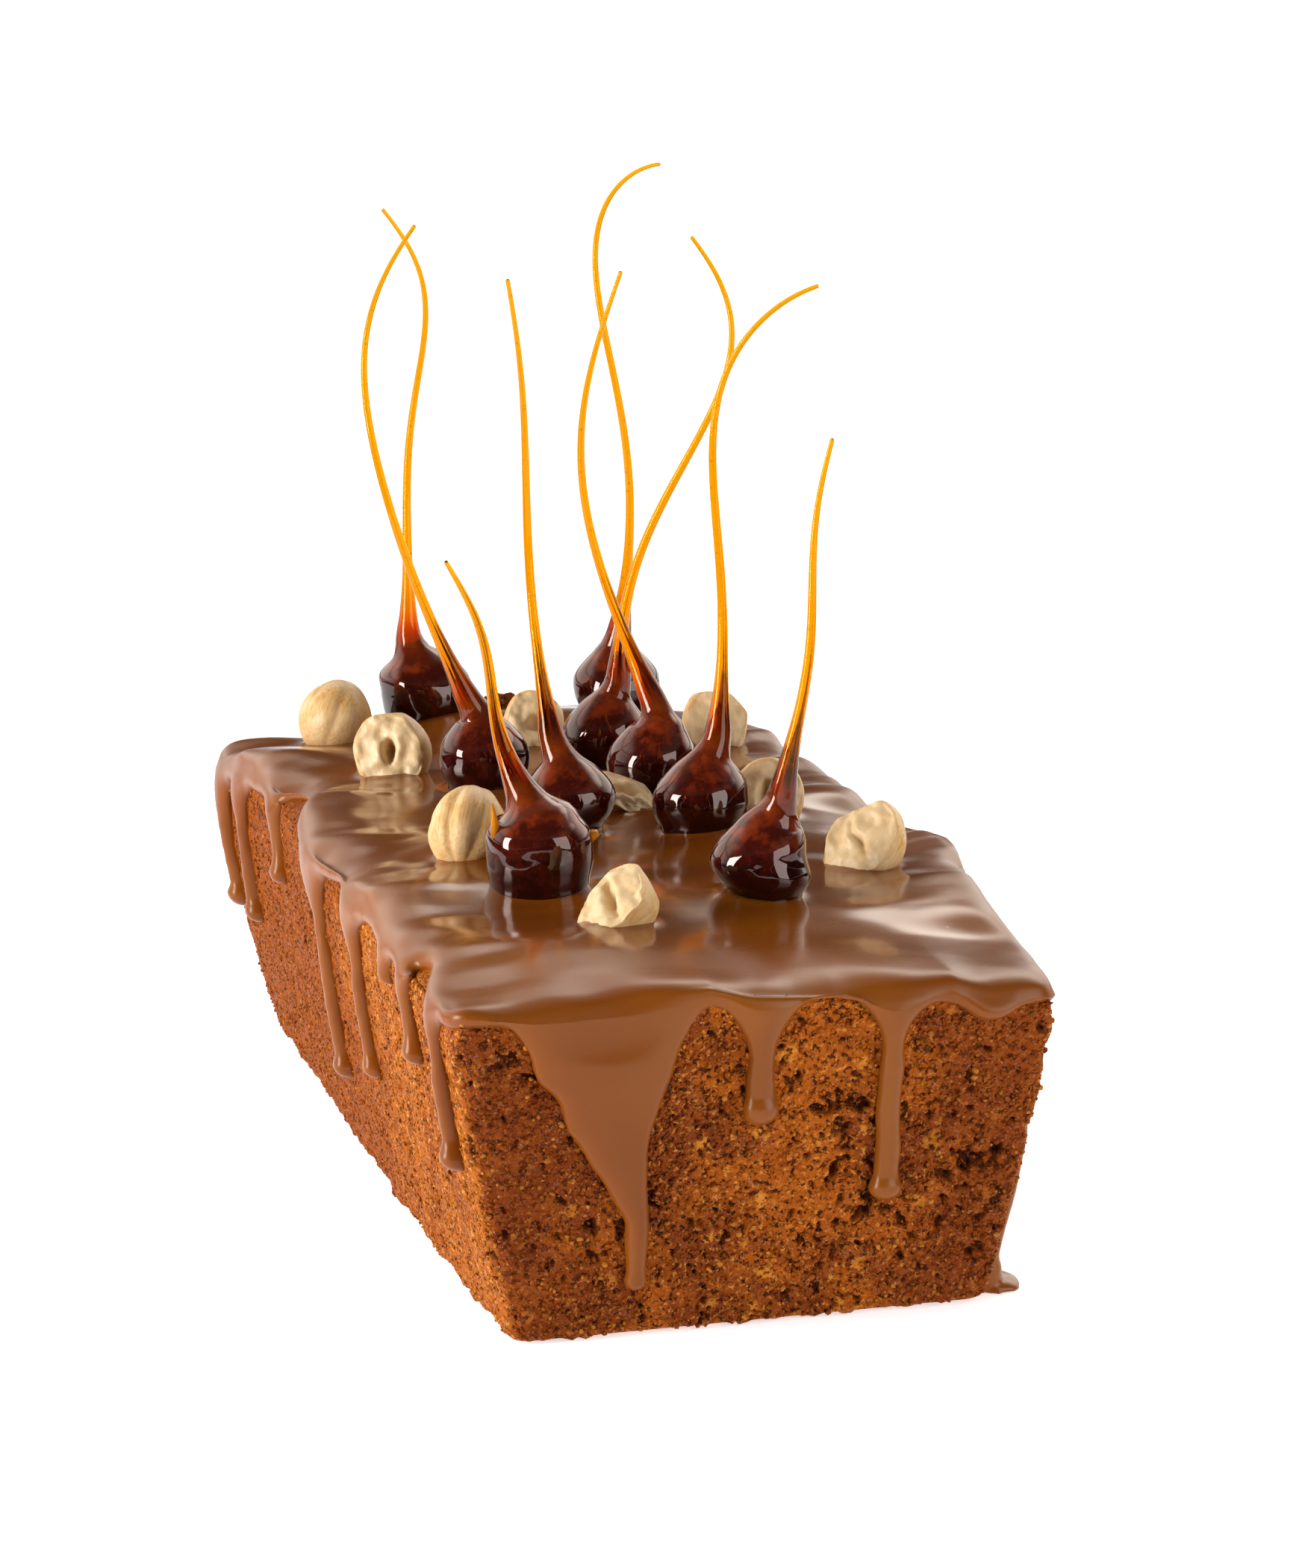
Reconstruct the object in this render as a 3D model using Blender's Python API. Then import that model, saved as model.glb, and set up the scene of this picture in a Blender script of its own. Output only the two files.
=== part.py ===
"""Caramel nut loaf cake.

A tapered loaf under a poured caramel icing that runs down its sides, topped with plain hazelnuts
and with hazelnuts dipped in dark caramel, which is drawn up into long thin strands.

X is the width, +Y runs along the length to the far end and Z is up. The origin is the middle of
the base. Everything is in metres.
"""

import math
from collections import namedtuple

import bmesh
import bpy
from mathutils import Vector, noise

MM = 0.001

# Loaf: a flat base, sides that lean outwards as a loaf tin's do, and a domed top.
BASE_HALF_WIDTH = 40 * MM
BASE_HALF_LENGTH = 111.5 * MM
LEAN_HEIGHT = 52 * MM            # the leans below are measured at this height
SIDE_LEAN = 10 * MM
NEAR_LEAN = 10 * MM
FAR_LEAN = 4 * MM
CREST_HEIGHT = 60.5 * MM         # top of the crumb where the dome is highest
CREST_PLACE = -25 * MM
CREST_REACH = 145 * MM
CREST_DROP = 4 * MM
CROWN_DROP = 1.2 * MM            # from the middle line to the long edges
NEAR_CORNER_RADIUS = 3 * MM
FAR_CORNER_RADIUS = 9 * MM
SHOULDER_RADIUS = 5 * MM         # the baked top edges
CUT_EDGE_RADIUS = 2 * MM         # the top edge of the near face
BASE_EDGE_RADIUS = 1 * MM
SIDE_UNEVENNESS = 0.5 * MM
SIDE_BOW = 1.0 * MM              # the long sides swell at half height
BASE_BOW = 1.4 * MM              # and at the middle of the base
PINCH = 2.5 * MM                 # the left top edge draws in a little towards the far end
PINCH_PLACE = 45 * MM
PINCH_REACH = 32 * MM

# Corners where the top sinks: along X, along Y, and how far.
CORNER_SAGS = (
    (50 * MM, -121 * MM, 4.5 * MM),
    (-50 * MM, 115 * MM, 5.0 * MM),
    (50 * MM, 115 * MM, 3.0 * MM),
)
SAG_REACH = 22 * MM

# A brown crag of crust that stands up through the icing at the far edge.
CRAG_PLACE = (8.0 * MM, 113.6 * MM, 57.2 * MM)
CRAG_HALF_SIZE = (5.0 * MM, 2.6 * MM, 4.0 * MM)
CRAG_GAP = 0.5 * MM              # between the crag and the icing round it

# Icing
ICING_THICKNESS = 2.4 * MM
ICING_GAP = 0.3 * MM             # between the icing and the crumb
LIP_LENGTH = 1.8 * MM            # over which the icing's border reaches its full thickness
LID_BURIED = 1.2 * MM            # how deep the lid's rim reaches into the loaf
# The border runs round the loaf this far above the start of the rounded top edge.
SIDE_BORDER = 2.4 * MM
NEAR_BORDER = 0.7 * MM
BORDER_WAVE = 1.0 * MM

# Spots where the border draws back and shows the crumb: side, place, reach and how far.
BARE_SPOTS = (
    ("left", -93 * MM, 8 * MM, 4.0 * MM),
    ("left", -28 * MM, 6 * MM, 2.0 * MM),
    ("left", 36 * MM, 12 * MM, 5.5 * MM),
    ("right", 38 * MM, 12 * MM, 3.5 * MM),
    ("far", -12 * MM, 9 * MM, 3.0 * MM),
)

# Spots where the rim is swollen: side, place, reach and extra thickness.
SWELLINGS = (
    ("right", -43 * MM, 17 * MM, 4.4 * MM),
    ("right", 70 * MM, 14 * MM, 1.2 * MM),
    ("left", -5 * MM, 14 * MM, 0.8 * MM),
    ("left", 100 * MM, 12 * MM, 0.8 * MM),
    ("near", -30 * MM, 12 * MM, 0.6 * MM),
)
DRIP_ROOT_THICKNESS = 2.0 * MM
DRIP_NECK_THICKNESS = 1.5 * MM
BEAD_THICKNESS = 2.4 * MM
DRIP_BURIED = 1.6 * MM           # how deep a drip reaches into the loaf before it is cut away

# A drip runs straight down one side. "place" is along that side, "tip" is the height of its
# lowest point, "neck" its half width and "bead" the radius of its end. Its root flares out to
# both sides by "before" and "after", over the depths "before_run" and "after_run". The flare
# before it is straight where "power" is 1, and more hollow where it is larger. All but the side
# and the power are in millimetres.
FLARE_POWER = 1.7
Drip = namedtuple("Drip", "side place tip neck bead before before_run after after_run power",
                  defaults=(FLARE_POWER,))
DRIPS = (
    Drip("near", -19.8, 8.0, 1.5, 1.9, 22.0, 38.0, 10.5, 27.0, 1.0),
    Drip("near", 0.2, 35.5, 2.1, 2.9, 7.0, 11.0, 7.5, 12.0),
    Drip("near", 21.9, 20.3, 1.8, 2.4, 5.5, 9.0, 8.0, 9.0),
    Drip("near", 38.2, 49.6, 3.5, 2.6, 4.0, 3.0, 4.0, 3.0),
    Drip("left", -109.0, 29.5, 1.2, 2.4, 6.0, 9.0, 5.0, 10.0),
    Drip("left", -87.0, 41.5, 1.4, 2.2, 5.0, 5.0, 6.0, 12.0),
    Drip("left", -71.0, 50.0, 2.0, 2.4, 5.0, 5.0, 5.0, 5.0),
    Drip("left", -41.0, 27.0, 1.1, 2.1, 14.0, 9.0, 9.0, 15.0),
    Drip("left", -5.0, 17.5, 1.5, 2.3, 10.0, 12.0, 30.0, 14.0),
    Drip("left", 49.0, 41.0, 1.5, 2.3, 3.0, 8.0, 10.0, 12.0),
    Drip("left", 82.0, 26.0, 1.3, 2.3, 8.0, 12.0, 6.0, 12.0),
    Drip("left", 102.0, 24.5, 1.3, 2.6, 6.0, 12.0, 3.0, 18.0),
    Drip("right", -105.5, 0.3, 2.6, 3.0, 7.0, 14.0, 8.0, 12.0),
    Drip("right", -74.0, 31.0, 1.4, 2.4, 6.0, 10.0, 9.0, 10.0),
    Drip("right", -41.0, 17.0, 1.5, 2.3, 12.0, 12.0, 14.0, 14.0),
    Drip("right", -9.0, 45.0, 1.8, 2.6, 6.0, 7.0, 6.0, 8.0),
    Drip("right", 18.0, 27.0, 1.3, 2.2, 8.0, 9.0, 10.0, 16.0),
    Drip("right", 58.0, 36.0, 1.5, 2.4, 10.0, 9.0, 7.0, 9.0),
    Drip("right", 91.0, 21.0, 1.4, 2.3, 6.0, 12.0, 9.0, 10.0),
    Drip("far", -27.0, 30.0, 1.5, 2.3, 9.0, 12.0, 6.0, 8.0),
    Drip("far", 3.0, 17.0, 1.4, 2.4, 7.0, 8.0, 16.0, 22.0),
    Drip("far", 31.0, 38.0, 1.6, 2.5, 6.0, 8.0, 7.0, 9.0),
)

# The pool where the longest drip meets the table.
POOL_PLACE = (44.0 * MM, -103.5 * MM)
POOL_HALF_SIZE = (4.6 * MM, 5.4 * MM, 1.9 * MM)

TOPPING_GAP = 0.4 * MM           # between the icing and what stands on it

# Strands rise in one plane that is turned a little about Z, and sway towards each other in depth.
STRAND_PLANE_TURN = math.radians(-13.5)
NECK_HEIGHT = 12 * MM

# A caramel hazelnut: its place, the radius and height of its bulb, the height of its tip above
# the icing, then the strand's sideways start, lean, bow, sway and curl, and how far its tip
# turns over, from 0 for upright to 1 for level.
Caramel = namedtuple("Caramel", "x y radius bulb tip start lean bow sway curl turn depth")
CARAMELS = (
    Caramel(-7.0, 110.0, 9.2, 13.0, 100.5, -3.5, -2.0, 4.5, -3.0, 1.0, 0.6, 4.0),
    Caramel(-13.0, 27.6, 8.3, 13.0, 102.0, -1.0, -9.0, -13.0, 1.5, -0.5, 0.6, -5.0),
    Caramel(-21.4, -57.0, 9.0, 14.5, 56.0, -0.7, -13.5, 0.0, -1.5, 0.0, 0.0, 3.0),
    Caramel(-6.4, -15.0, 8.2, 12.5, 97.3, -2.5, -6.0, -1.0, -1.0, 0.0, 0.5, 6.0),
    Caramel(31.3, 108.0, 8.6, 13.5, 108.1, 0.0, 10.5, -6.0, 4.5, 0.5, 0.98, -6.0),
    Caramel(12.5, 40.0, 7.8, 13.0, 97.2, 3.0, 15.5, 7.5, -5.5, 0.0, 0.6, -3.0),
    Caramel(14.2, 9.4, 8.1, 14.0, 94.9, 2.5, -6.0, -10.5, 0.5, 0.0, 0.0, 5.0),
    Caramel(15.3, -22.3, 8.5, 13.0, 95.1, 3.0, 19.0, -8.5, 2.5, 0.5, 0.9, 2.0),
    Caramel(12.1, -74.4, 8.2, 15.0, 76.0, 3.3, 10.3, 0.4, 0.7, -0.5, 0.0, -4.0),
)
BULB_SIDES = 10

# A plain hazelnut: its place, radius, length against width, the direction its tip points
# (turned about Z from +X, and raised), and where it is cut flat, if it is a half: the cut's
# direction, and its distance from the middle against the radius.
NUT_FOOT = 0.45                  # the middle's height above the icing against the radius
Nut = namedtuple("Nut", "x y radius length turn rise cut cut_turn cut_rise foot",
                 defaults=(NUT_FOOT,))
NUTS = (
    Nut(-27.5, 100.6, 7.3, 1.02, 40, 55, None, 0, 0),
    Nut(-26.7, 46.0, 7.4, 1.05, 105, 60, 0.30, -110, 20),
    Nut(-28.9, -34.1, 7.2, 1.05, 60, 50, None, 0, 0, 0.68),
    Nut(-14.9, -85.6, 6.8, 1.12, 35, 25, 0.25, -150, 50),
    Nut(35.2, -58.1, 7.2, 1.12, 30, 40, 0.25, -140, 40),
    Nut(29.5, -16.5, 6.6, 1.05, 80, 60, 0.30, -105, 15),
    Nut(37.7, 53.0, 6.9, 1.05, 100, 60, 0.35, -95, 25),
    Nut(5.8, -3.5, 5.4, 1.10, 160, 20, 0.10, -60, 55),
    Nut(4.7, 62.8, 6.5, 1.05, 120, 55, 0.35, -100, 30),
)
NUT_SIDES = 14
NUT_LEVELS = 8
NUT_RIBS = 7
NUT_RIB_DEPTH = 0.035


def smoothstep(low, high, value):
    """0 below low, 1 above high, and a smooth rise between."""
    t = min(1.0, max(0.0, (value - low) / (high - low)))
    return t * t * (3.0 - 2.0 * t)


def crumb_top(x, y):
    """Height of the loaf's domed top."""
    half = BASE_HALF_WIDTH + SIDE_LEAN
    height = CREST_HEIGHT
    height -= CREST_DROP * ((y - CREST_PLACE) / CREST_REACH) ** 2
    height -= CROWN_DROP * (abs(x) / half) ** 3
    for sag_x, sag_y, sag in CORNER_SAGS:
        reach = ((x - sag_x) ** 2 + (y - sag_y) ** 2) / (2.0 * SAG_REACH ** 2)
        height -= sag * math.exp(-reach)
    return height


def icing_top(x, y):
    """Height of the icing's upper face away from its rim."""
    return crumb_top(x, y) + ICING_THICKNESS


def half_width(z):
    return BASE_HALF_WIDTH + SIDE_LEAN * z / LEAN_HEIGHT


def near_edge(z):
    return -BASE_HALF_LENGTH - NEAR_LEAN * z / LEAN_HEIGHT


def far_edge(z):
    return BASE_HALF_LENGTH + FAR_LEAN * z / LEAN_HEIGHT


def settled_x(x, y, z):
    """Where a point of the straight-sided loaf lies once its sides have bowed and drawn in."""
    aside = x / half_width(z)
    level = min(1.0, max(0.0, z / LEAN_HEIGHT))
    bow = SIDE_BOW * math.sin(math.pi * level)
    bow += BASE_BOW * (1.0 - level) * (1.0 - (y / BASE_HALF_LENGTH) ** 2)
    pinch = PINCH * math.exp(-((y - PINCH_PLACE) / PINCH_REACH) ** 2) * level
    return x + bow * aside + pinch * 0.5 * (1.0 - aside)


def side_point(side, place, z):
    """A point on one of the four sides, with the direction out of the loaf."""
    if side == "near":
        return Vector((place, near_edge(z), z)), Vector((0, -1, 0))
    if side == "far":
        return Vector((place, far_edge(z), z)), Vector((0, 1, 0))
    sign = -1 if side == "left" else 1
    x = settled_x(sign * half_width(z), place, z)
    return Vector((x, place, z)), Vector((sign, 0, 0))


def outline(z, inset, spacing, corner_steps):
    """The loaf's rounded outline at a height, moved in by an inset.

    Returns points in the plane with their outward directions. The number of points depends only
    on the spacing, so outlines at different heights and insets match point for point.
    """
    right = half_width(z) - inset
    near = near_edge(z) + inset
    far = far_edge(z) - inset
    near_radius = max(NEAR_CORNER_RADIUS - inset, 0.4 * MM)
    far_radius = max(FAR_CORNER_RADIUS - inset, 0.6 * MM)
    corners = (
        (Vector((-right + near_radius, near + near_radius)), near_radius, 180),
        (Vector((right - near_radius, near + near_radius)), near_radius, 270),
        (Vector((right - far_radius, far - far_radius)), far_radius, 0),
        (Vector((-right + far_radius, far - far_radius)), far_radius, 90),
    )
    side_lengths = (2 * half_width(LEAN_HEIGHT), 2 * BASE_HALF_LENGTH) * 2
    points = []
    for index, (centre, radius, first_angle) in enumerate(corners):
        for step in range(corner_steps + 1):
            angle = math.radians(first_angle + 90.0 * step / corner_steps)
            out = Vector((math.cos(angle), math.sin(angle)))
            points.append((centre + out * radius, out))
        next_centre, next_radius, next_angle = corners[(index + 1) % 4]
        start, out = points[-1]
        end = next_centre + out * next_radius
        steps = max(2, round(side_lengths[index] / spacing))
        for step in range(1, steps):
            points.append((start.lerp(end, step / steps), out.copy()))
    for flat, out in points:
        flat.x = settled_x(flat.x, flat.y, z)
    return points


def shoulder_radius(out):
    """Rounding of the top edge: tight at the near face, soft at the baked edges."""
    return SHOULDER_RADIUS + (CUT_EDGE_RADIUS - SHOULDER_RADIUS) * smoothstep(0.5, 1.0, -out.y)


def unevenness(point):
    """Slow swelling of the baked sides."""
    return SIDE_UNEVENNESS * noise.noise(Vector((point.x, point.y, point.z)) * 28.0)


def edge_frame(spacing, corner_steps):
    """The top edge's outline, each point with its outward direction and a point further in."""
    edge = outline(LEAN_HEIGHT, 0.0, spacing, corner_steps)
    inner = outline(LEAN_HEIGHT, SHOULDER_RADIUS, spacing, corner_steps)
    return [(flat, out, within) for (flat, out), (within, same) in zip(edge, inner)]


def lean_of(out):
    """How far a side leans outwards over the lean height."""
    return SIDE_LEAN * out.x ** 2 + (FAR_LEAN if out.y > 0 else NEAR_LEAN) * out.y ** 2


def edge_point(item, offset, height):
    """A point near the top edge: its offset out from the side, and height from the edge."""
    flat, out, within = item
    rounding = flat.lerp(within, shoulder_radius(out) / SHOULDER_RADIUS)
    z = crumb_top(rounding.x, rounding.y) + height
    if offset < 0.0:
        flat = flat.lerp(within, -offset / SHOULDER_RADIUS)
        offset = 0.0
    flat = flat + out * (offset + lean_of(out) * (z - LEAN_HEIGHT) / LEAN_HEIGHT)
    return (flat.x, flat.y, z)


def add_ring(bm, points):
    return [bm.verts.new(point) for point in points]


def bridge(bm, lower, upper):
    """Joins two rings of as many points with quads."""
    count = len(lower)
    for index in range(count):
        after = (index + 1) % count
        bm.faces.new((lower[index], lower[after], upper[after], upper[index]))


def finish_mesh(bm, name):
    """Closed mesh from a bmesh, with its faces pointing out."""
    bmesh.ops.recalc_face_normals(bm, faces=bm.faces[:])
    mesh = bpy.data.meshes.new(name)
    bm.to_mesh(mesh)
    bm.free()
    return mesh


def add_object(name, mesh, material=None):
    piece = bpy.data.objects.new(name, mesh)
    bpy.context.scene.collection.objects.link(piece)
    if material is not None:
        mesh.materials.append(material)
        mesh.shade_smooth()
        mesh.set_sharp_from_angle(angle=math.radians(50))
    return piece


def make_material(name, colour, roughness):
    material = bpy.data.materials.new(name)
    material.use_nodes = True
    shader = material.node_tree.nodes["Principled BSDF"]
    shader.inputs["Base Color"].default_value = (*colour, 1.0)
    shader.inputs["Roughness"].default_value = roughness
    shader.inputs["Metallic"].default_value = 0.0
    return material


# ---------------------------------------------------------------------------------- the loaf

LOAF_SPACING = 13 * MM
LOAF_CORNER_STEPS = 3
LOAF_SIDE_LEVELS = (0.2, 0.45, 0.7)
LOAF_TOP_INSETS = (9 * MM, 18 * MM, 30 * MM, 43 * MM)
CRAG_ROUGHNESS = 0.35


def loaf_mesh(name, grow=0.0, below=0.0):
    """The loaf, or with grow and below the slightly larger block that the icing is cut by."""
    bm = bmesh.new()
    rings = []
    if below:
        ring = outline(0.0, -grow, LOAF_SPACING, LOAF_CORNER_STEPS)
        rings.append(add_ring(bm, [(p.x, p.y, -below) for p, out in ring]))
    else:
        ring = outline(0.0, BASE_EDGE_RADIUS, LOAF_SPACING, LOAF_CORNER_STEPS)
        rings.append(add_ring(bm, [(p.x, p.y, 0.0) for p, out in ring]))
        ring = outline(BASE_EDGE_RADIUS, 0.0, LOAF_SPACING, LOAF_CORNER_STEPS)
        rings.append(add_ring(bm, [(p.x, p.y, BASE_EDGE_RADIUS) for p, out in ring]))
    for fraction in LOAF_SIDE_LEVELS:
        rings.append(add_ring(bm, side_ring(fraction, grow)))
    for angle in (0, 30, 60, 90):
        rings.append(add_ring(bm, shoulder_ring(math.radians(angle), grow)))
    for inset in LOAF_TOP_INSETS:
        ring = outline(LEAN_HEIGHT, inset, LOAF_SPACING, LOAF_CORNER_STEPS)
        rings.append(add_ring(bm, [(p.x, p.y, crumb_top(p.x, p.y) + grow) for p, out in ring]))
    for lower, upper in zip(rings, rings[1:]):
        bridge(bm, lower, upper)
    bm.faces.new(rings[0])
    bm.faces.new(rings[-1])
    bmesh.ops.triangulate(bm, faces=bm.faces[:])
    return finish_mesh(bm, name)


def crag_mesh(name, grow=0.0):
    """The crag, or with grow the slightly larger lump that the icing is cut by."""
    bm = bmesh.new()
    bmesh.ops.create_icosphere(bm, subdivisions=2, radius=1.0)
    for vert in bm.verts:
        rough = 1.0 + CRAG_ROUGHNESS * noise.noise(vert.co * 2.3)
        for axis in range(3):
            size = CRAG_HALF_SIZE[axis] * rough + grow
            vert.co[axis] = CRAG_PLACE[axis] + vert.co[axis] * size
    return finish_mesh(bm, name)


def make_cake(material):
    """The loaf with the crag grown onto its far edge."""
    cake = add_object("cake", loaf_mesh("cake"), material)
    crag = add_object("cake_crag", crag_mesh("cake_crag"))
    hide_cutter(crag)
    join = cake.modifiers.new("join_crag", "BOOLEAN")
    join.operation = "UNION"
    join.object = crag


def side_ring(fraction, grow):
    """Points round the sides at a fraction of the height of the straight part."""
    points = []
    for flat, out in outline(LEAN_HEIGHT * fraction, 0.0, LOAF_SPACING, LOAF_CORNER_STEPS):
        z = fraction * LEAN_HEIGHT
        swell = unevenness(Vector((flat.x, flat.y, z))) + grow
        points.append((flat.x + out.x * swell, flat.y + out.y * swell, z))
    return points


def shoulder_ring(angle, grow):
    """Points round the top edge, from upright (angle 0) to level (90 degrees)."""
    points = []
    for item in edge_frame(LOAF_SPACING, LOAF_CORNER_STEPS):
        radius = shoulder_radius(item[1])
        offset = (radius + grow) * math.cos(angle) - radius
        height = (radius + grow) * math.sin(angle) - radius
        points.append(edge_point(item, offset, height))
    return points


# --------------------------------------------------------------------------------- the icing

ICING_SPACING = 7 * MM
ICING_CORNER_STEPS = 3
LIP_STEPS = ((0.0, -1.0), (0.0, 0.2), (0.2, 0.75))   # share of the lip's length, and of the cover
RIM_STEPS = (0.0, 0.5, 1.0)
ICING_TOP_INSETS = (12 * MM, 26 * MM, 42 * MM)


def spot_strength(spots, flat, out):
    """Sum of the named spots' amounts at a point of the outline."""
    total = 0.0
    for side, place, reach, amount in spots:
        if side in ("left", "right"):
            facing = -out.x if side == "left" else out.x
            along = flat.y
        else:
            facing = -out.y if side == "near" else out.y
            along = flat.x
        total += amount * smoothstep(0.3, 0.8, facing) * math.exp(-((along - place) / reach) ** 2)
    return total


def border_level(flat, out):
    """Where the icing's border runs, along the section from the start of the rounded edge."""
    wave = noise.noise(Vector((flat.x, flat.y, 0.0)) * 45.0)
    base = SIDE_BORDER + (NEAR_BORDER - SIDE_BORDER) * smoothstep(0.5, 1.0, -out.y)
    return base + BORDER_WAVE * wave + spot_strength(BARE_SPOTS, flat, out)


def rim_point(item, along, cover):
    """A point over the rounded edge: a length along the crumb's section, and a cover on it."""
    radius = shoulder_radius(item[1])
    quarter = radius * math.pi / 2.0
    if along <= 0.0:
        return edge_point(item, cover, along - radius)
    if along <= quarter:
        angle = along / radius
        reach = radius + cover
        return edge_point(item, reach * math.cos(angle) - radius, reach * math.sin(angle) - radius)
    return edge_point(item, quarter - along - radius, cover)


def icing_lid_mesh(name):
    """The poured top: a closed lid whose rim hangs a little over every edge."""
    bm = bmesh.new()
    rows = [[] for step in LIP_STEPS + RIM_STEPS]
    for item in edge_frame(ICING_SPACING, ICING_CORNER_STEPS):
        flat, out, within = item
        radius = shoulder_radius(out)
        level = border_level(flat, out)
        side_cover = ICING_THICKNESS + spot_strength(SWELLINGS, flat, out)
        full = level + LIP_LENGTH
        end = max(radius * math.pi / 2.0, full + 0.6 * MM)
        for row, (along, share) in zip(rows, LIP_STEPS):
            cover = side_cover * share if share >= 0.0 else -LID_BURIED
            row.append(rim_point(item, level + along * LIP_LENGTH, cover))
        for row, step in zip(rows[len(LIP_STEPS):], RIM_STEPS):
            cover = side_cover + (ICING_THICKNESS - side_cover) * step
            row.append(rim_point(item, full + (end - full) * step, cover))
    for inset in ICING_TOP_INSETS:
        ring = outline(LEAN_HEIGHT, inset, ICING_SPACING, ICING_CORNER_STEPS)
        rows.append([(p.x, p.y, icing_top(p.x, p.y)) for p, out in ring])
    rings = [add_ring(bm, row) for row in rows]
    for lower, upper in zip(rings, rings[1:]):
        bridge(bm, lower, upper)
    bm.faces.new(rings[0])
    bm.faces.new(rings[-1])
    bmesh.ops.triangulate(bm, faces=bm.faces[:])
    return finish_mesh(bm, name)


DRIP_OUTER_POINTS = 5
DRIP_FULLNESS = 0.65             # below 1, a drip's section has steeper sides than an ellipse
DRIP_LEVELS = 4
FLARE_LIMIT = 0.85               # share of the way to the bead that the flare may take
BEAD_TOP_LEVELS = (1.0, 0.6, 0.0)
BEAD_FOOT_LEVELS = (0.55, 0.88)


def drip_section(drip, z, root):
    """Half widths to both sides, and thickness, of a drip at a height."""
    bead = drip.bead * MM
    from_middle = (z - drip.tip * MM - bead) / bead
    rounding = math.sqrt(max(0.0, 1.0 - from_middle ** 2))
    depth = root - z + min(0.0, from_middle) * bead
    before = drip.neck * MM + drip.before * MM * flare(depth, drip.before_run * MM, drip.power)
    after = drip.neck * MM + drip.after * MM * flare(depth, drip.after_run * MM, FLARE_POWER)
    thickness = DRIP_NECK_THICKNESS
    thickness += (DRIP_ROOT_THICKNESS - thickness) * flare(depth, 15 * MM, 1.0)
    full = min(bead, BEAD_THICKNESS)
    if from_middle < 0.0:
        return (max(before, bead) * rounding, max(after, bead) * rounding,
                max(thickness, full) * rounding)
    return max(before, bead * rounding), max(after, bead * rounding), max(thickness, full * rounding)


def flare(depth, run, power):
    return max(0.0, 1.0 - max(0.0, depth) / run) ** power


def drip_mesh(name, drip):
    """One drip, as a closed spindle that is half sunk in the loaf."""
    place = drip.place * MM
    edge, out = side_point(drip.side, place, LEAN_HEIGHT)
    inner = edge - out * SHOULDER_RADIUS
    root = crumb_top(inner.x, inner.y) - 0.4 * MM
    bead = drip.bead * MM
    middle = drip.tip * MM + bead
    along = Vector((abs(out.y), abs(out.x), 0))
    start = min(middle + bead, (root + middle) / 2.0)
    run = min(max(drip.before_run, drip.after_run) * MM, FLARE_LIMIT * (root - start))
    heights = [root - run * step / (DRIP_LEVELS - 1) for step in range(DRIP_LEVELS)]
    heights += [middle + (start - middle) * level for level in BEAD_TOP_LEVELS]
    heights += [middle - bead * level for level in BEAD_FOOT_LEVELS]
    bm = bmesh.new()
    rings = []
    for z in heights:
        before, after, thickness = drip_section(drip, z, root)
        centre, out = side_point(drip.side, place, z)
        ring = []
        for index in range(DRIP_OUTER_POINTS):
            angle = math.pi * index / (DRIP_OUTER_POINTS - 1)
            reach = after if math.cos(angle) > 0 else -before
            aside = reach * abs(math.cos(angle)) ** DRIP_FULLNESS
            ring.append(centre + along * aside + out * (thickness * math.sin(angle) ** DRIP_FULLNESS))
        ring.append(centre - along * (0.6 * before) - out * DRIP_BURIED)
        ring.append(centre + along * (0.6 * after) - out * DRIP_BURIED)
        rings.append(add_ring(bm, ring))
    for upper, lower in zip(rings, rings[1:]):
        bridge(bm, upper, lower)
    bm.faces.new(rings[0])
    centre, out = side_point(drip.side, place, drip.tip * MM)
    tip = bm.verts.new(centre - out * 0.2 * MM)
    count = len(rings[-1])
    for index in range(count):
        bm.faces.new((rings[-1][index], rings[-1][(index + 1) % count], tip))
    bmesh.ops.triangulate(bm, faces=bm.faces[:])
    return finish_mesh(bm, name)


def pool_mesh(name):
    """The small pool at the foot of the longest drip, flat underneath."""
    bm = bmesh.new()
    bmesh.ops.create_uvsphere(bm, u_segments=12, v_segments=8, radius=1.0)
    bmesh.ops.scale(bm, vec=Vector(POOL_HALF_SIZE), verts=bm.verts[:])
    bmesh.ops.translate(bm, vec=Vector((*POOL_PLACE, 0.0)), verts=bm.verts[:])
    cut = bm.verts[:] + bm.edges[:] + bm.faces[:]
    result = bmesh.ops.bisect_plane(bm, geom=cut, plane_co=(0, 0, 0), plane_no=(0, 0, -1),
                                    clear_outer=True)
    rim = [item for item in result["geom_cut"] if isinstance(item, bmesh.types.BMEdge)]
    bmesh.ops.contextual_create(bm, geom=rim)
    bmesh.ops.triangulate(bm, faces=bm.faces[:])
    return finish_mesh(bm, name)


def hide_cutter(piece):
    piece.hide_render = True
    piece.display_type = "WIRE"


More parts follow.
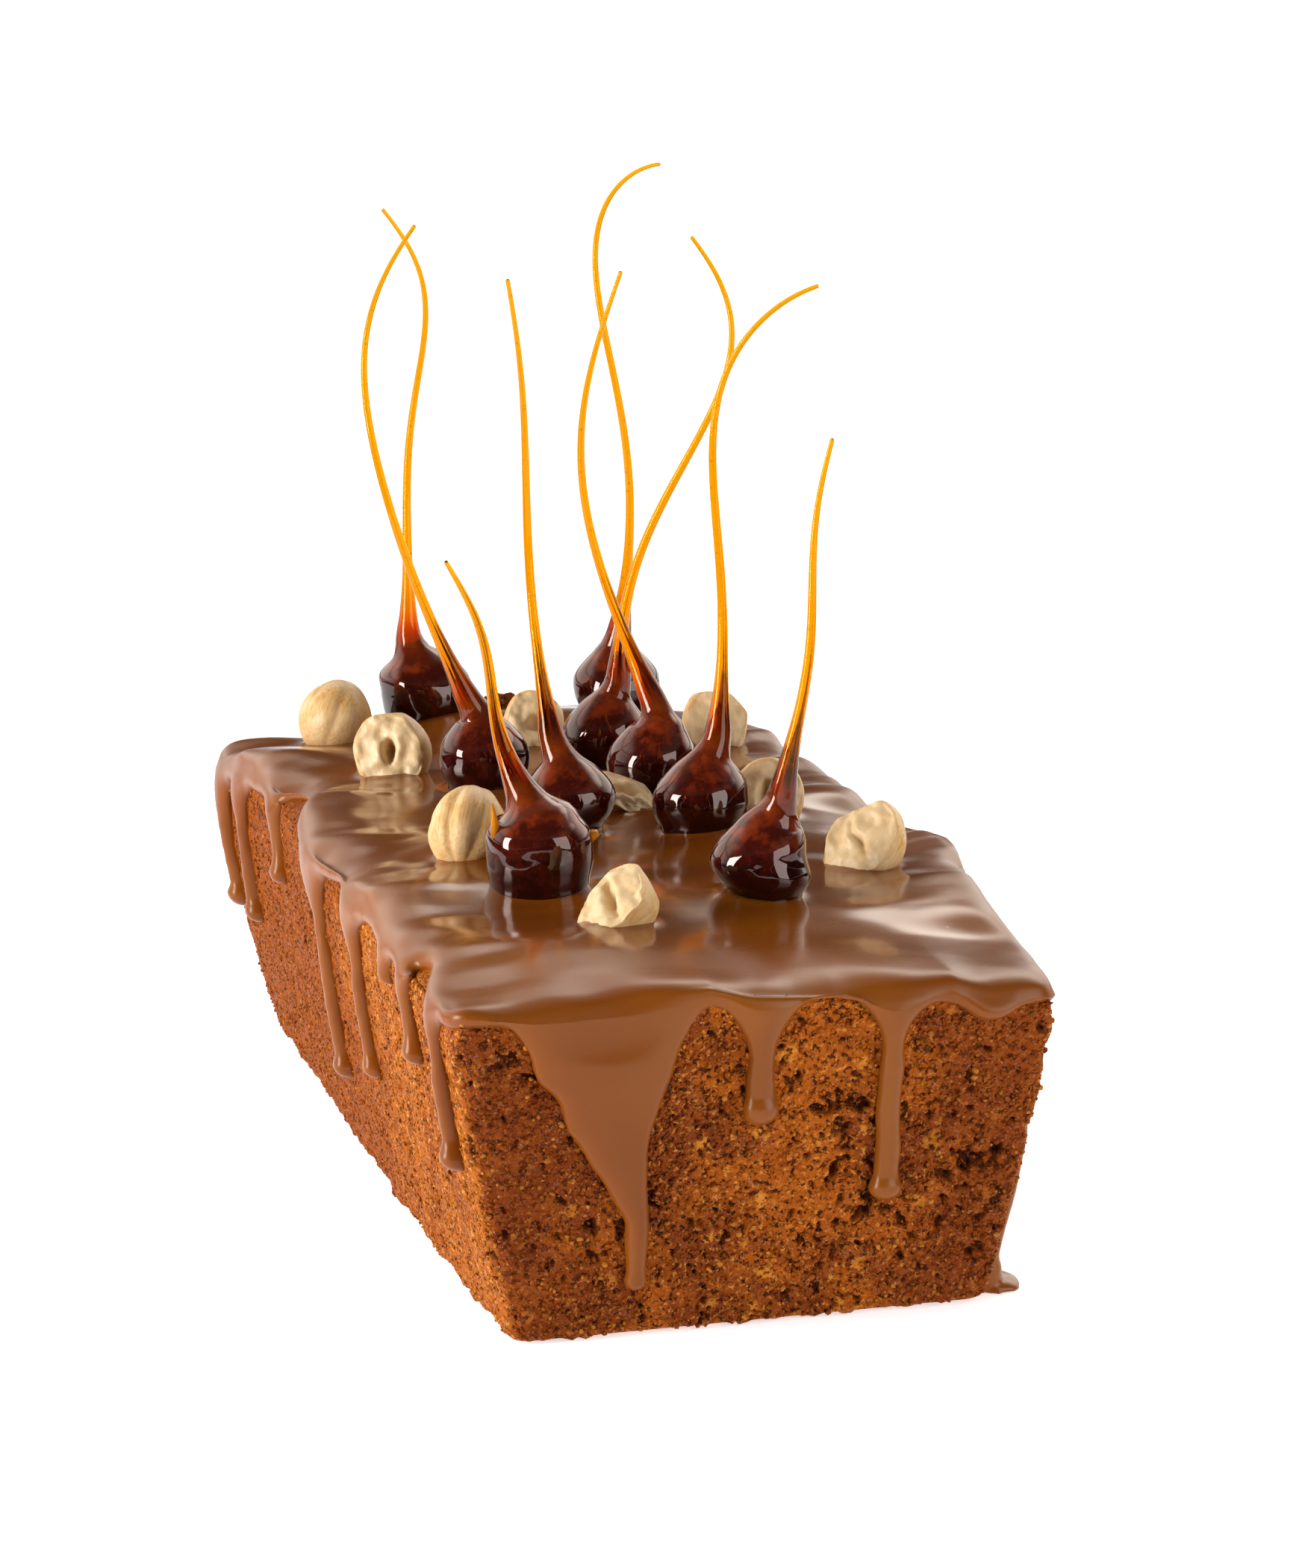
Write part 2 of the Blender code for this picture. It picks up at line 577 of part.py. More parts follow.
def make_icing(material):
    """Lid and drips joined into one body, less the loaf that they lie on."""
    icing = add_object("icing", icing_lid_mesh("icing"), material)
    runs = bpy.data.collections.new("icing_runs")
    bpy.context.scene.collection.children.link(runs)
    pieces = [drip_mesh("run", drip) for drip in DRIPS] + [pool_mesh("pool")]
    for mesh in pieces:
        run = bpy.data.objects.new("icing_run", mesh)
        runs.objects.link(run)
        hide_cutter(run)
    join = icing.modifiers.new("join_runs", "BOOLEAN")
    join.operation = "UNION"
    join.operand_type = "COLLECTION"
    join.collection = runs
    block = add_object("icing_block", loaf_mesh("icing_block", grow=ICING_GAP, below=5 * MM))
    hide_cutter(block)
    cut = icing.modifiers.new("cut_loaf", "BOOLEAN")
    cut.operation = "DIFFERENCE"
    cut.object = block
    lump = add_object("icing_lump", crag_mesh("icing_lump", grow=CRAG_GAP))
    hide_cutter(lump)
    clear = icing.modifiers.new("clear_crag", "BOOLEAN")
    clear.operation = "DIFFERENCE"
    clear.object = lump


# ------------------------------------------------------------------------------- the toppings

def strand_point(caramel, height, middle):
    """Middle of the caramel at a height above the icing."""
    tip = caramel.tip * MM
    rise = (height - NECK_HEIGHT) / (tip - NECK_HEIGHT)
    turn = max(caramel.turn, 0.01) * math.pi / 2.0
    t = math.asin(min(1.0, max(0.0, rise)) * math.sin(turn)) / turn
    start = caramel.start * smoothstep(0.4, 1.4, height / NECK_HEIGHT)
    aside = start + caramel.lean * t + caramel.bow * math.sin(math.pi * t)
    aside += caramel.sway * math.sin(2 * math.pi * t) + caramel.curl * math.sin(3 * math.pi * t)
    depth = caramel.depth * math.sin(math.pi * t * 1.3)
    across = Vector((math.cos(STRAND_PLANE_TURN), math.sin(STRAND_PLANE_TURN), 0))
    back = Vector((-across.y, across.x, 0))
    return middle + across * (aside * MM) + back * (depth * MM) + Vector((0, 0, height))


# Radius of the caramel against height: shares of the bulb's radius up to the bulb's height,
# then real radii above it.
BULB_PROFILE = ((0.0, 0.80), (0.18, 0.96), (0.38, 1.0), (0.58, 0.92), (0.78, 0.68), (1.0, 0.38))
STRAND_PROFILE = ((4.5, 1.9), (9, 1.35), (16, 0.95), (26, 0.75))
STRAND_TIP_RADIUS = 0.35 * MM
STRAND_LEVELS = 9


def caramel_sections(caramel):
    """Heights above the icing and radii, from the foot to the tip."""
    bulb, radius = caramel.bulb * MM, caramel.radius * MM
    sections = [(share * bulb, size * radius) for share, size in BULB_PROFILE]
    for above, size in STRAND_PROFILE:
        sections.append((bulb + above * MM, size * MM))
    last_height, last_radius = sections[-1]
    turn = max(caramel.turn, 0.01) * math.pi / 2.0
    for step in range(1, STRAND_LEVELS + 1):
        t = step / STRAND_LEVELS
        share = math.sin(turn * t) / math.sin(turn)
        height = last_height + (caramel.tip * MM - last_height) * share
        sections.append((height, last_radius + (STRAND_TIP_RADIUS - last_radius) * t))
    return sections


def caramel_mesh(name, caramel):
    """A dipped hazelnut with its drawn strand, as rings square to the strand."""
    middle = Vector((caramel.x * MM, caramel.y * MM, 0.0))
    middle.z = icing_top(middle.x, middle.y) + TOPPING_GAP
    sections = caramel_sections(caramel)
    path = [strand_point(caramel, height, middle) for height, radius in sections]
    bm = bmesh.new()
    rings = []
    for index, (height, radius) in enumerate(sections):
        before, after = path[max(index - 1, 0)], path[min(index + 1, len(path) - 1)]
        upright = 1.0 - smoothstep(0.5, 1.3, height / (caramel.bulb * MM))
        heading = (after - before).normalized().lerp(Vector((0, 0, 1)), upright).normalized()
        tilt = Vector((0, 0, 1)).rotation_difference(heading).to_matrix()
        ring = []
        for side in range(BULB_SIDES):
            angle = 2.0 * math.pi * side / BULB_SIDES
            arm = Vector((math.cos(angle), math.sin(angle), 0.0)) * radius
            ring.append(path[index] + tilt @ arm)
        rings.append(add_ring(bm, ring))
    for vert in rings[0]:
        vert.co.z = icing_top(vert.co.x, vert.co.y) + TOPPING_GAP
    for lower, upper in zip(rings, rings[1:]):
        bridge(bm, lower, upper)
    bm.faces.new(rings[0])
    bm.faces.new(rings[-1])
    bmesh.ops.triangulate(bm, faces=bm.faces[:])
    return finish_mesh(bm, name)


def direction(turn, rise):
    turn, rise = math.radians(turn), math.radians(rise)
    return Vector((math.cos(turn) * math.cos(rise), math.sin(turn) * math.cos(rise), math.sin(rise)))


def nut_mesh(name, nut):
    """A blanched hazelnut: a ribbed drop, cut flat if it is a half, with a flat foot."""
    radius = nut.radius * MM
    bm = bmesh.new()
    bmesh.ops.create_uvsphere(bm, u_segments=NUT_SIDES, v_segments=NUT_LEVELS, radius=1.0)
    tilt = direction(nut.turn, nut.rise).to_track_quat("Z", "Y").to_matrix()
    middle = Vector((nut.x * MM, nut.y * MM, 0.0))
    middle.z = icing_top(middle.x, middle.y) + TOPPING_GAP + nut.foot * radius
    face = direction(nut.cut_turn, nut.cut_rise)
    for vert in bm.verts:
        around = math.atan2(vert.co.y, vert.co.x)
        rib = 1.0 - NUT_RIB_DEPTH * (1.0 + math.cos(NUT_RIBS * around)) * (1.0 - abs(vert.co.z))
        point = Vector((vert.co.x * rib, vert.co.y * rib, vert.co.z * nut.length))
        point.z += 0.08 * smoothstep(0.7, 1.0, vert.co.z)
        point = tilt @ point
        if nut.cut is not None:
            beyond = point.dot(face) - nut.cut
            if beyond > 0.0:
                point -= face * (beyond * 0.92)
        vert.co = middle + point * radius
        vert.co.z = max(vert.co.z, icing_top(vert.co.x, vert.co.y) + TOPPING_GAP)
    bmesh.ops.triangulate(bm, faces=bm.faces[:])
    return finish_mesh(bm, name)


def main():
    for piece in list(bpy.data.objects):
        bpy.data.objects.remove(piece, do_unlink=True)
    crumb = make_material("crumb", (0.35, 0.13, 0.03), 0.75)
    icing = make_material("icing", (0.27, 0.12, 0.05), 0.25)
    caramel = make_material("caramel", (0.22, 0.04, 0.008), 0.08)
    hazelnut = make_material("hazelnut", (0.80, 0.62, 0.34), 0.45)
    make_cake(crumb)
    make_icing(icing)
    for number, item in enumerate(CARAMELS, start=1):
        name = "caramel_%d" % number
        add_object(name, caramel_mesh(name, item), caramel)
    for number, item in enumerate(NUTS, start=1):
        name = "hazelnut_%d" % number
        add_object(name, nut_mesh(name, item), hazelnut)


main()
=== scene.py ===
"""Caramel nut loaf cake: its visual model.

A tapered loaf of nut crumb under poured caramel icing, with plain hazelnuts and hazelnuts dipped
in dark caramel that is drawn up into long strands. Each group of pieces has an operator, listed
in the panel "Nut cake" of the 3D view's sidebar, and its sizes and colours are scene properties.

X is the width, +Y runs to the far end and Z is up. Everything is in metres.
"""

import itertools
import math
from collections import namedtuple

import bmesh
import bpy
import numpy as np
from bpy.props import FloatProperty, FloatVectorProperty, IntProperty, PointerProperty
from mathutils import Matrix, Vector, noise
from mathutils.bvhtree import BVHTree


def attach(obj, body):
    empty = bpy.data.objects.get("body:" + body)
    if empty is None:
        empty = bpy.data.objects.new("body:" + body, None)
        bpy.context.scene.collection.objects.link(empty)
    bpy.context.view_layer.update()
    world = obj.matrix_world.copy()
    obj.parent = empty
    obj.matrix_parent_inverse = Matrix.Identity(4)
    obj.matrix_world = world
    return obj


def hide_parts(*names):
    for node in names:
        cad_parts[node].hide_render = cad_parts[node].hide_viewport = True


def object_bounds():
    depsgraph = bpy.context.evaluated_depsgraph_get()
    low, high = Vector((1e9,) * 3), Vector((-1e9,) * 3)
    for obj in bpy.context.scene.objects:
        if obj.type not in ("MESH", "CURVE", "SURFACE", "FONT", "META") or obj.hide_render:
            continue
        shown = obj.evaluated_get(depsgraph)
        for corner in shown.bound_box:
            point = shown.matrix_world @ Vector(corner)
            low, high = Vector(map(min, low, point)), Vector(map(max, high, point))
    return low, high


bl_info = {
    "name": "Caramel nut cake",
    "version": (1, 0, 0),
    "blender": (4, 5, 0),
    "location": "View3D > Sidebar > Nut cake",
    "description": "Builds a caramel nut loaf cake piece by piece",
    "category": "Add Mesh",
}

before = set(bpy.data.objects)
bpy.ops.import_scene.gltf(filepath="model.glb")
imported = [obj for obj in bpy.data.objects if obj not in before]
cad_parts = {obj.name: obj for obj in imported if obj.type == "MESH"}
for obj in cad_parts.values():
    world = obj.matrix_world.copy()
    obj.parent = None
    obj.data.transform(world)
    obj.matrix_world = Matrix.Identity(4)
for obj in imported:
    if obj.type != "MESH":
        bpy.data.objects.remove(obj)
CAD_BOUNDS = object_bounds()

MM = 0.001
BODY = "root"
TRIANGLE_LIMIT = 195000          # a piece stays under this many triangles
UP = Vector((0, 0, 1))

# ------------------------------------------------------------------------ the loaf's measures

BASE_HALF_WIDTH = 40 * MM
BASE_HALF_LENGTH = 111.5 * MM
LEAN_HEIGHT = 52 * MM
SIDE_LEAN = 10 * MM
NEAR_LEAN = 10 * MM
FAR_LEAN = 4 * MM
CREST_HEIGHT = 60.5 * MM
CREST_PLACE = -25 * MM
CREST_REACH = 145 * MM
CREST_DROP = 4 * MM
CROWN_DROP = 1.2 * MM
NEAR_CORNER_RADIUS = 3 * MM
FAR_CORNER_RADIUS = 9 * MM
SHOULDER_RADIUS = 5 * MM
CUT_EDGE_RADIUS = 2 * MM
SIDE_BOW = 1.0 * MM
BASE_BOW = 1.4 * MM
PINCH = 2.5 * MM
PINCH_PLACE = 45 * MM
PINCH_REACH = 32 * MM
CORNER_SAGS = (
    (50 * MM, -121 * MM, 4.5 * MM),
    (-50 * MM, 115 * MM, 5.0 * MM),
    (50 * MM, 115 * MM, 3.0 * MM),
)
SAG_REACH = 22 * MM
CRAG_PLACE = (8.0 * MM, 113.6 * MM, 57.2 * MM)
CRAG_HALF_SIZE = (5.0 * MM, 2.6 * MM, 4.0 * MM)


def smoothstep(low, high, value):
    """0 below low, 1 above high, and a smooth rise between. Takes numbers and arrays."""
    t = np.clip((value - low) / (high - low), 0.0, 1.0)
    return t * t * (3.0 - 2.0 * t)


def crumb_top(x, y):
    """Height of the loaf's domed top."""
    half = BASE_HALF_WIDTH + SIDE_LEAN
    height = CREST_HEIGHT - CREST_DROP * ((y - CREST_PLACE) / CREST_REACH) ** 2
    height = height - CROWN_DROP * (abs(x) / half) ** 3
    for sag_x, sag_y, sag in CORNER_SAGS:
        reach = ((x - sag_x) ** 2 + (y - sag_y) ** 2) / (2.0 * SAG_REACH ** 2)
        height = height - sag * np.exp(-reach)
    return height


def half_width(z):
    return BASE_HALF_WIDTH + SIDE_LEAN * z / LEAN_HEIGHT


def near_edge(z):
    return -BASE_HALF_LENGTH - NEAR_LEAN * z / LEAN_HEIGHT


def far_edge(z):
    return BASE_HALF_LENGTH + FAR_LEAN * z / LEAN_HEIGHT


def settled_x(x, y, z):
    """Where a point of the straight-sided loaf lies once its sides have bowed and drawn in."""
    aside = x / half_width(z)
    level = min(1.0, max(0.0, z / LEAN_HEIGHT))
    bow = SIDE_BOW * math.sin(math.pi * level)
    bow += BASE_BOW * (1.0 - level) * (1.0 - (y / BASE_HALF_LENGTH) ** 2)
    pinch = PINCH * math.exp(-((y - PINCH_PLACE) / PINCH_REACH) ** 2) * level
    return x + bow * aside + pinch * 0.5 * (1.0 - aside)


def side_point(side, place, z):
    """A point on one of the four sides, with the direction out of the loaf."""
    if side == "near":
        return Vector((place, near_edge(z), z)), Vector((0, -1, 0))
    if side == "far":
        return Vector((place, far_edge(z), z)), Vector((0, 1, 0))
    sign = -1 if side == "left" else 1
    return Vector((settled_x(sign * half_width(z), place, z), place, z)), Vector((sign, 0, 0))


# ------------------------------------------------------------------------------- noise fields

LAYER_TURN = np.array(Matrix.Rotation(0.6, 3, "Y") @ Matrix.Rotation(0.4, 3, "X"))
LAYER_FINENESS = 2.1             # each layer of noise against the one before it
LAYER_FAINTNESS = 0.55
GRID_OFFSET = 500.0              # keeps every cell number above zero
CELL_PRIMES = (73856093, 19349663, 83492791)
SEED_PRIME = 2654435761
MIXING = ((15, 2246822519), (13, 3266489917))
WORD = 0xFFFFFFFF
LOW_BITS = 0xFFFFFF


def hashed(cells, seed):
    """A steady random value from 0 to 1 for each whole-numbered cell."""
    mixed = seed * SEED_PRIME
    for axis, prime in enumerate(CELL_PRIMES):
        mixed = mixed ^ (cells[:, axis] * prime)
    mixed = mixed & WORD
    for shift, prime in MIXING:
        mixed = ((mixed ^ (mixed >> shift)) * prime) & WORD
    return ((mixed ^ (mixed >> 16)) & LOW_BITS) / float(LOW_BITS)


def soft_noise(points, wavelength, seed):
    """Smooth noise from -1 to 1."""
    scaled = points / wavelength + GRID_OFFSET
    base = np.floor(scaled).astype(np.int64)
    part = scaled - base
    part = part * part * (3.0 - 2.0 * part)
    total = np.zeros(len(points))
    for corner in itertools.product((0, 1), repeat=3):
        weight = np.prod(np.where(corner, part, 1.0 - part), axis=1)
        total += weight * hashed(base + np.array(corner), seed)
    return total * 2.0 - 1.0


def layered_noise(points, wavelength, seed, layers=3):
    """Smooth noise with finer and fainter layers on it."""
    total, size = np.zeros(len(points)), 1.0
    for layer in range(layers):
        points = points @ LAYER_TURN
        total += size * soft_noise(points, wavelength / LAYER_FINENESS ** layer, seed + 7 * layer)
        size *= LAYER_FAINTNESS
    return total


def nearest_seed(points, wavelength, seed):
    """Distance to the nearest scattered seed, in wavelengths, and that seed's own value."""
    scaled = points / wavelength + GRID_OFFSET
    base = np.floor(scaled).astype(np.int64)
    best, own = np.full(len(points), 9.0), np.zeros(len(points))
    for step in itertools.product((-1, 0, 1), repeat=3):
        cell = base + np.array(step)
        spot = cell + np.stack([hashed(cell, seed + axis) for axis in range(3)], axis=1)
        distance = np.linalg.norm(scaled - spot, axis=1)
        nearer = distance < best
        best = np.where(nearer, distance, best)
        own = np.where(nearer, hashed(cell, seed + 3), own)
    return best, own


def above_share(field, share, softness=0.35):
    """1 where the field is among its highest share of values, with a soft edge, and 0 elsewhere."""
    limit, top = np.quantile(field, (1.0 - share, 1.0))
    return smoothstep(limit, limit + softness * (top - limit), field)


# ------------------------------------------------------------------------------- mesh helpers

def coords_of(mesh):
    values = np.empty(len(mesh.vertices) * 3, np.float32)
    mesh.vertices.foreach_get("co", values)
    return values.reshape(-1, 3).astype(float)


def set_coords(mesh, coords):
    mesh.vertices.foreach_set("co", coords.astype(np.float32).ravel())
    mesh.update()


def normals_of(mesh):
    values = np.empty(len(mesh.vertices) * 3, np.float32)
    mesh.vertex_normals.foreach_get("vector", values)
    return values.reshape(-1, 3).astype(float)


def edges_of(mesh):
    values = np.empty(len(mesh.edges) * 2, np.int32)
    mesh.edges.foreach_get("vertices", values)
    return values.reshape(-1, 2)


def relaxed(coords, edges, share, rounds):
    """Each point moved towards the middle of its neighbours, several times over.

    The share is one number, or one for each point.
    """
    size = len(coords)
    count = np.maximum(np.bincount(edges.ravel(), minlength=size), 1)[:, None]
    first, second = edges[:, 0], edges[:, 1]
    for step in range(rounds):
        total = np.empty_like(coords)
        for axis in range(3):
            values = coords[:, axis]
            total[:, axis] = np.bincount(first, values[second], size)
            total[:, axis] += np.bincount(second, values[first], size)
        coords = coords + share * (total / count - coords)
    return coords


def add_attribute(mesh, name, values):
    """A number for each point that a material can read."""
    layer = mesh.attributes.new(name, "FLOAT", "POINT")
    layer.data.foreach_set("value", np.asarray(values, np.float32))


def mesh_from(bm, name):
    bmesh.ops.recalc_face_normals(bm, faces=bm.faces[:])
    mesh = bpy.data.meshes.new(name)
    bm.to_mesh(mesh)
    bm.free()
    return mesh


def after_modifier(mesh, kind, **values):
    """The mesh as a modifier leaves it, as a new mesh."""
    holder = bpy.data.objects.new("holder", mesh)
    bpy.context.scene.collection.objects.link(holder)
    modifier = holder.modifiers.new("shape", kind)
    for key, value in values.items():
        setattr(modifier, key, value)
    graph = bpy.context.evaluated_depsgraph_get()
    result = bpy.data.meshes.new_from_object(holder.evaluated_get(graph))
    bpy.data.objects.remove(holder)
    return result


def thinned(mesh):
    """The mesh with flat places thinned out until it is under the triangle limit."""
    triangles = sum(len(face.vertices) - 2 for face in mesh.polygons)
    if triangles <= TRIANGLE_LIMIT:
        return mesh
    return after_modifier(mesh, "DECIMATE", ratio=TRIANGLE_LIMIT / triangles)


def add_piece(name, mesh, material, slot, *replaced):
    """Shows a finished mesh as a piece that stands for some of the frame's nodes."""
    set_coords(mesh, np.clip(coords_of(mesh), *CAD_BOUNDS))
    piece = bpy.data.objects.new(name, mesh)
    bpy.context.scene.collection.objects.link(piece)
    mesh.materials.clear()
    mesh.materials.append(material)
    mesh.shade_smooth()
    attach(piece, BODY)
    if replaced:
        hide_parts(*replaced)
    return piece


def loft(bm, rings):
    """A closed skin through rings of points, drawn out of the first ring and capped."""
    loop = bmesh.ops.create_circle(bm, segments=len(rings[0]), radius=1.0)["verts"]
    for vert, point in zip(loop, rings[0]):
        vert.co = point
    edges = [bm.edges.get((loop[index - 1], loop[index])) for index in range(len(loop))]
    bmesh.ops.edgeloop_fill(bm, edges=edges)
    for ring in rings[1:]:
        geometry = bmesh.ops.extrude_edge_only(bm, edges=edges)["geom"]
        fresh = {item for item in geometry if isinstance(item, bmesh.types.BMVert)}
        moved = []
        for vert, point in zip(loop, ring):
            others = (edge.other_vert(vert) for edge in vert.link_edges)
            partner = next(other for other in others if other in fresh)
            partner.co = point
            moved.append(partner)
        loop = moved
        edges = [bm.edges.get((loop[index - 1], loop[index])) for index in range(len(loop))]
    bmesh.ops.edgeloop_fill(bm, edges=edges)


# --------------------------------------------------------------------------- material helpers

class Look:
    """Short ways to add and link the nodes of one material, or of the world."""

    def __init__(self, owner):
        owner.use_nodes = True
        self.owner = owner
        self.tree = owner.node_tree
        coordinates = self.tree.nodes.new("ShaderNodeTexCoord")
        self.place = coordinates.outputs["Object"]
        self.heading = coordinates.outputs["Generated"]

    def add(self, kind, **inputs):
        """A node with its inputs set to values, or linked to other nodes' outputs."""
        node = self.tree.nodes.new(kind)
        for key, value in inputs.items():
            self.set(node.inputs[key.replace("_", " ")], value)
        return node

    def set(self, socket, value):
        """Sets a socket to a value, or links it to another node's output."""
        if isinstance(value, bpy.types.NodeSocket):
            self.tree.links.new(value, socket)
        else:
            socket.default_value = value

    def shade(self, **inputs):
        """Sets or links inputs of the material's own shader."""
        shader = self.tree.nodes["Principled BSDF"]
        for key, value in inputs.items():
            self.set(shader.inputs[key.replace("_", " ")], value)

    def stretched(self, scale):
        """The piece's coordinates, scaled along each axis."""
        return self.add("ShaderNodeMapping", Vector=self.place, Scale=scale).outputs["Vector"]

    def noise(self, scale, detail=3.0, rough=0.55, place=None):
        """Noise from 0 to 1. The scale is in features to the metre."""
        node = self.add("ShaderNodeTexNoise", Vector=place or self.place, Scale=scale)
        node.inputs["Detail"].default_value = detail
        node.inputs["Roughness"].default_value = rough
        return node.outputs["Fac"]

    def cells(self, scale, place=None):
        """Distance to the nearest of many scattered points. The scale is in points to the metre."""
        node = self.add("ShaderNodeTexVoronoi", Vector=place or self.place, Scale=scale)
        return node.outputs["Distance"]

    def attribute(self, name):
        node = self.tree.nodes.new("ShaderNodeAttribute")
        node.attribute_name = name
        return node.outputs["Fac"]

    def ranged(self, value, low, high, to_low=0.0, to_high=1.0):
        """The value brought from one range to another, softly, and kept inside it."""
        node = self.tree.nodes.new("ShaderNodeMapRange")
        node.interpolation_type = "SMOOTHSTEP"
        numbers = (value, low, high, to_low, to_high)
        for socket, number in zip(node.inputs, numbers):
            self.set(socket, number)
        return node.outputs["Result"]

    def math(self, operation, first, second):
        node = self.tree.nodes.new("ShaderNodeMath")
        node.operation = operation
        self.set(node.inputs[0], first)
        self.set(node.inputs[1], second)
        return node.outputs[0]

    def mix(self, share, first, second):
        """A colour between two colours."""
        node = self.tree.nodes.new("ShaderNodeMix")
        node.data_type = "RGBA"
        self.set(node.inputs[0], share)
        for socket, colour in ((node.inputs[6], first), (node.inputs[7], second)):
            if not isinstance(colour, bpy.types.NodeSocket):
                colour = (*colour[:3], 1.0)
            self.set(socket, colour)
        return node.outputs[2]

    def ramp(self, value, *stops):
        """A colour ramp through (place, colour) stops."""
        node = self.add("ShaderNodeValToRGB", Fac=value)
        elements = node.color_ramp.elements
        while len(elements) < len(stops):
            elements.new(0.5)
        for element, (place, colour) in zip(elements, stops):
            element.position = place
            element.color = (*colour[:3], 1.0)
        return node.outputs["Color"]

    def bump(self, height, distance, strength=1.0):
        node = self.add("ShaderNodeBump", Height=height, Distance=distance, Strength=strength)
        return node.outputs["Normal"]


# ---------------------------------------------------------------------------------- the loaf

LOAF_CELL = 2.4 * MM             # grid of the loaf's skin before its faces are divided further
SIDE_CUTS = 2
NEAR_CUTS = 1
BOX_SIZE = (100 * MM, 237 * MM, 60 * MM)

# side, its outward direction, 1 where it's crust, and share and size of its loose grains
GRAINED_SIDES = (
    ("near", (0, -1, 0), 0.0, 0.60, 1.0),
    ("left", (-1, 0, 0), 1.0, 1.00, 0.60),
    ("right", (1, 0, 0), 1.0, 0.99, 0.75),
    ("far", (0, 1, 0), 1.0, 0.50, 0.75),
)

# fields of layered noise: wavelength, seed and number of layers
LARGE_HOLES = (3.8 * MM, 11, 3)
PORES = (1.9 * MM, 23, 3)
CUT_GRAIN = (1.0 * MM, 53, 2)
STREAKS = (2.4 * MM, 71, 3)
CRUST_GRAIN = (1.6 * MM, 83, 2)
PITS = (2.2 * MM, 97, 3)
CORNER_CRUMBLE = (3.2 * MM, 113, 2)
FOOT_CRUMBLE = (2.6 * MM, 127, 2)

# fields of one layer: wavelength and seed
LOOSENESS = (17 * MM, 31)
NUT_BITS = (4.2 * MM, 41)
CUT_SWELL = (9 * MM, 61)
CRUST_SWELL = (14 * MM, 101)

# how much of each axis a field of the baked sides takes: the less, the longer it is drawn
UPRIGHT_STREAKS = (1.0, 1.0, 0.16)
UPRIGHT_GRAIN = (1.0, 1.0, 0.6)
UPRIGHT_PITS = (1.0, 1.0, 0.45)

BIT_SHARE = 0.22                 # of the seeds, these are bits of nut
BIT_HEIGHT = 0.12 * MM
CUT_SWELL_HEIGHT = 0.30 * MM
CRUST_SWELL_HEIGHT = 0.35 * MM
CORNER_HEIGHT = 0.7 * MM         # relief of the crumbling upright corners
FOOT_HEIGHT = 0.55 * MM          # and of the crumbling foot
FOOT_FADE = (3.5 * MM, 0.5 * MM)
PIT_SHARE = 0.09
DEEPEST = 3.0 * MM
GRAIN_CLEARANCE = 0.6 * MM       # loose grains keep off the lowest faces
FACING_SHARE = 0.62              # and off faces that turn away from their side
SMALLEST_GRAIN = 0.45
SIZE_SPREAD = 0.9
SIZE_POWER = 2.2                 # most of them are small
GRAIN_STANDING = 0.15            # how far a grain's middle stands out, in its own radii

# features to the metre of the crumb's coloured noise
CUT_PATCH_SCALE = 80.0
CRUST_PATCH_SCALE = 45.0
PORE_SCALE = 900.0
SPECK_SCALE = 1100.0
FINE_GRAIN_SCALE = 1300.0
FACET_SCALE = 1700.0
GLINT_SCALE = 2600.0

# how the crumb darkens: from and to these places in metres, by these shares
DARK_ASIDE = (0.014, 0.044, 0.0, 0.75)
# Towards the far end the crust's darkening is partly browner crust and partly painted shade; towards
# the bottom it darkens too.
DARK_LENGTHWISE = (-0.10, 0.07, -0.12, 0.70)
DARK_UPWARD = (0.0, 0.05, 0.10, -0.05)

CRAG_ROUGHNESS = ((2.3, 0.35), (9.0, 0.08))     # fineness and height of its two layers of lumps


def cad_tree(node):
    """A search tree over one of the frame's solids."""
    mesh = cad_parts[node].data
    points = [vert.co.copy() for vert in mesh.vertices]
    return BVHTree.FromPolygons(points, [list(face.vertices) for face in mesh.polygons])


def gridded_box():
    """A unit box whose skin is a fine grid, finest on its near face."""
    bm = bmesh.new()
    bmesh.ops.create_cube(bm, size=1.0)
    bmesh.ops.translate(bm, vec=(0, 0, 0.5), verts=bm.verts)
    for axis, size in enumerate(BOX_SIZE):
        along = [edge for edge in bm.edges
                 if abs(edge.verts[0].co[axis] - edge.verts[1].co[axis]) > 1e-6]
        bmesh.ops.subdivide_edges(bm, edges=along, cuts=round(size / LOAF_CELL) - 1)
    bm.normal_update()
    upright = {edge for face in bm.faces if abs(face.normal.z) < 0.5 for edge in face.edges}
    bmesh.ops.subdivide_edges(bm, edges=list(upright), cuts=SIDE_CUTS, use_grid_fill=True)
    bm.normal_update()
    near = {edge for face in bm.faces if face.normal.y < -0.5 for edge in face.edges}
    bmesh.ops.subdivide_edges(bm, edges=list(near), cuts=NEAR_CUTS, use_grid_fill=True)
    bmesh.ops.triangulate(bm, faces=[face for face in bm.faces if len(face.verts) > 4])
    return mesh_from(bm, "loaf")


def settle_on_loaf(mesh):
    """Moves the box's points onto the loaf solid."""
    tree = cad_tree("cake")
    for vert in mesh.vertices:
        across, along, up = vert.co
        z = up * CREST_HEIGHT
        x = across * 2.0 * half_width(z)
        y = near_edge(z) + (along + 0.5) * (far_edge(z) - near_edge(z))
        z = min(z, crumb_top(x, y))
        vert.co = tree.find_nearest((x, y, z))[0]
    coords = relaxed(coords_of(mesh), edges_of(mesh), 0.5, 2)
    set_coords(mesh, coords)


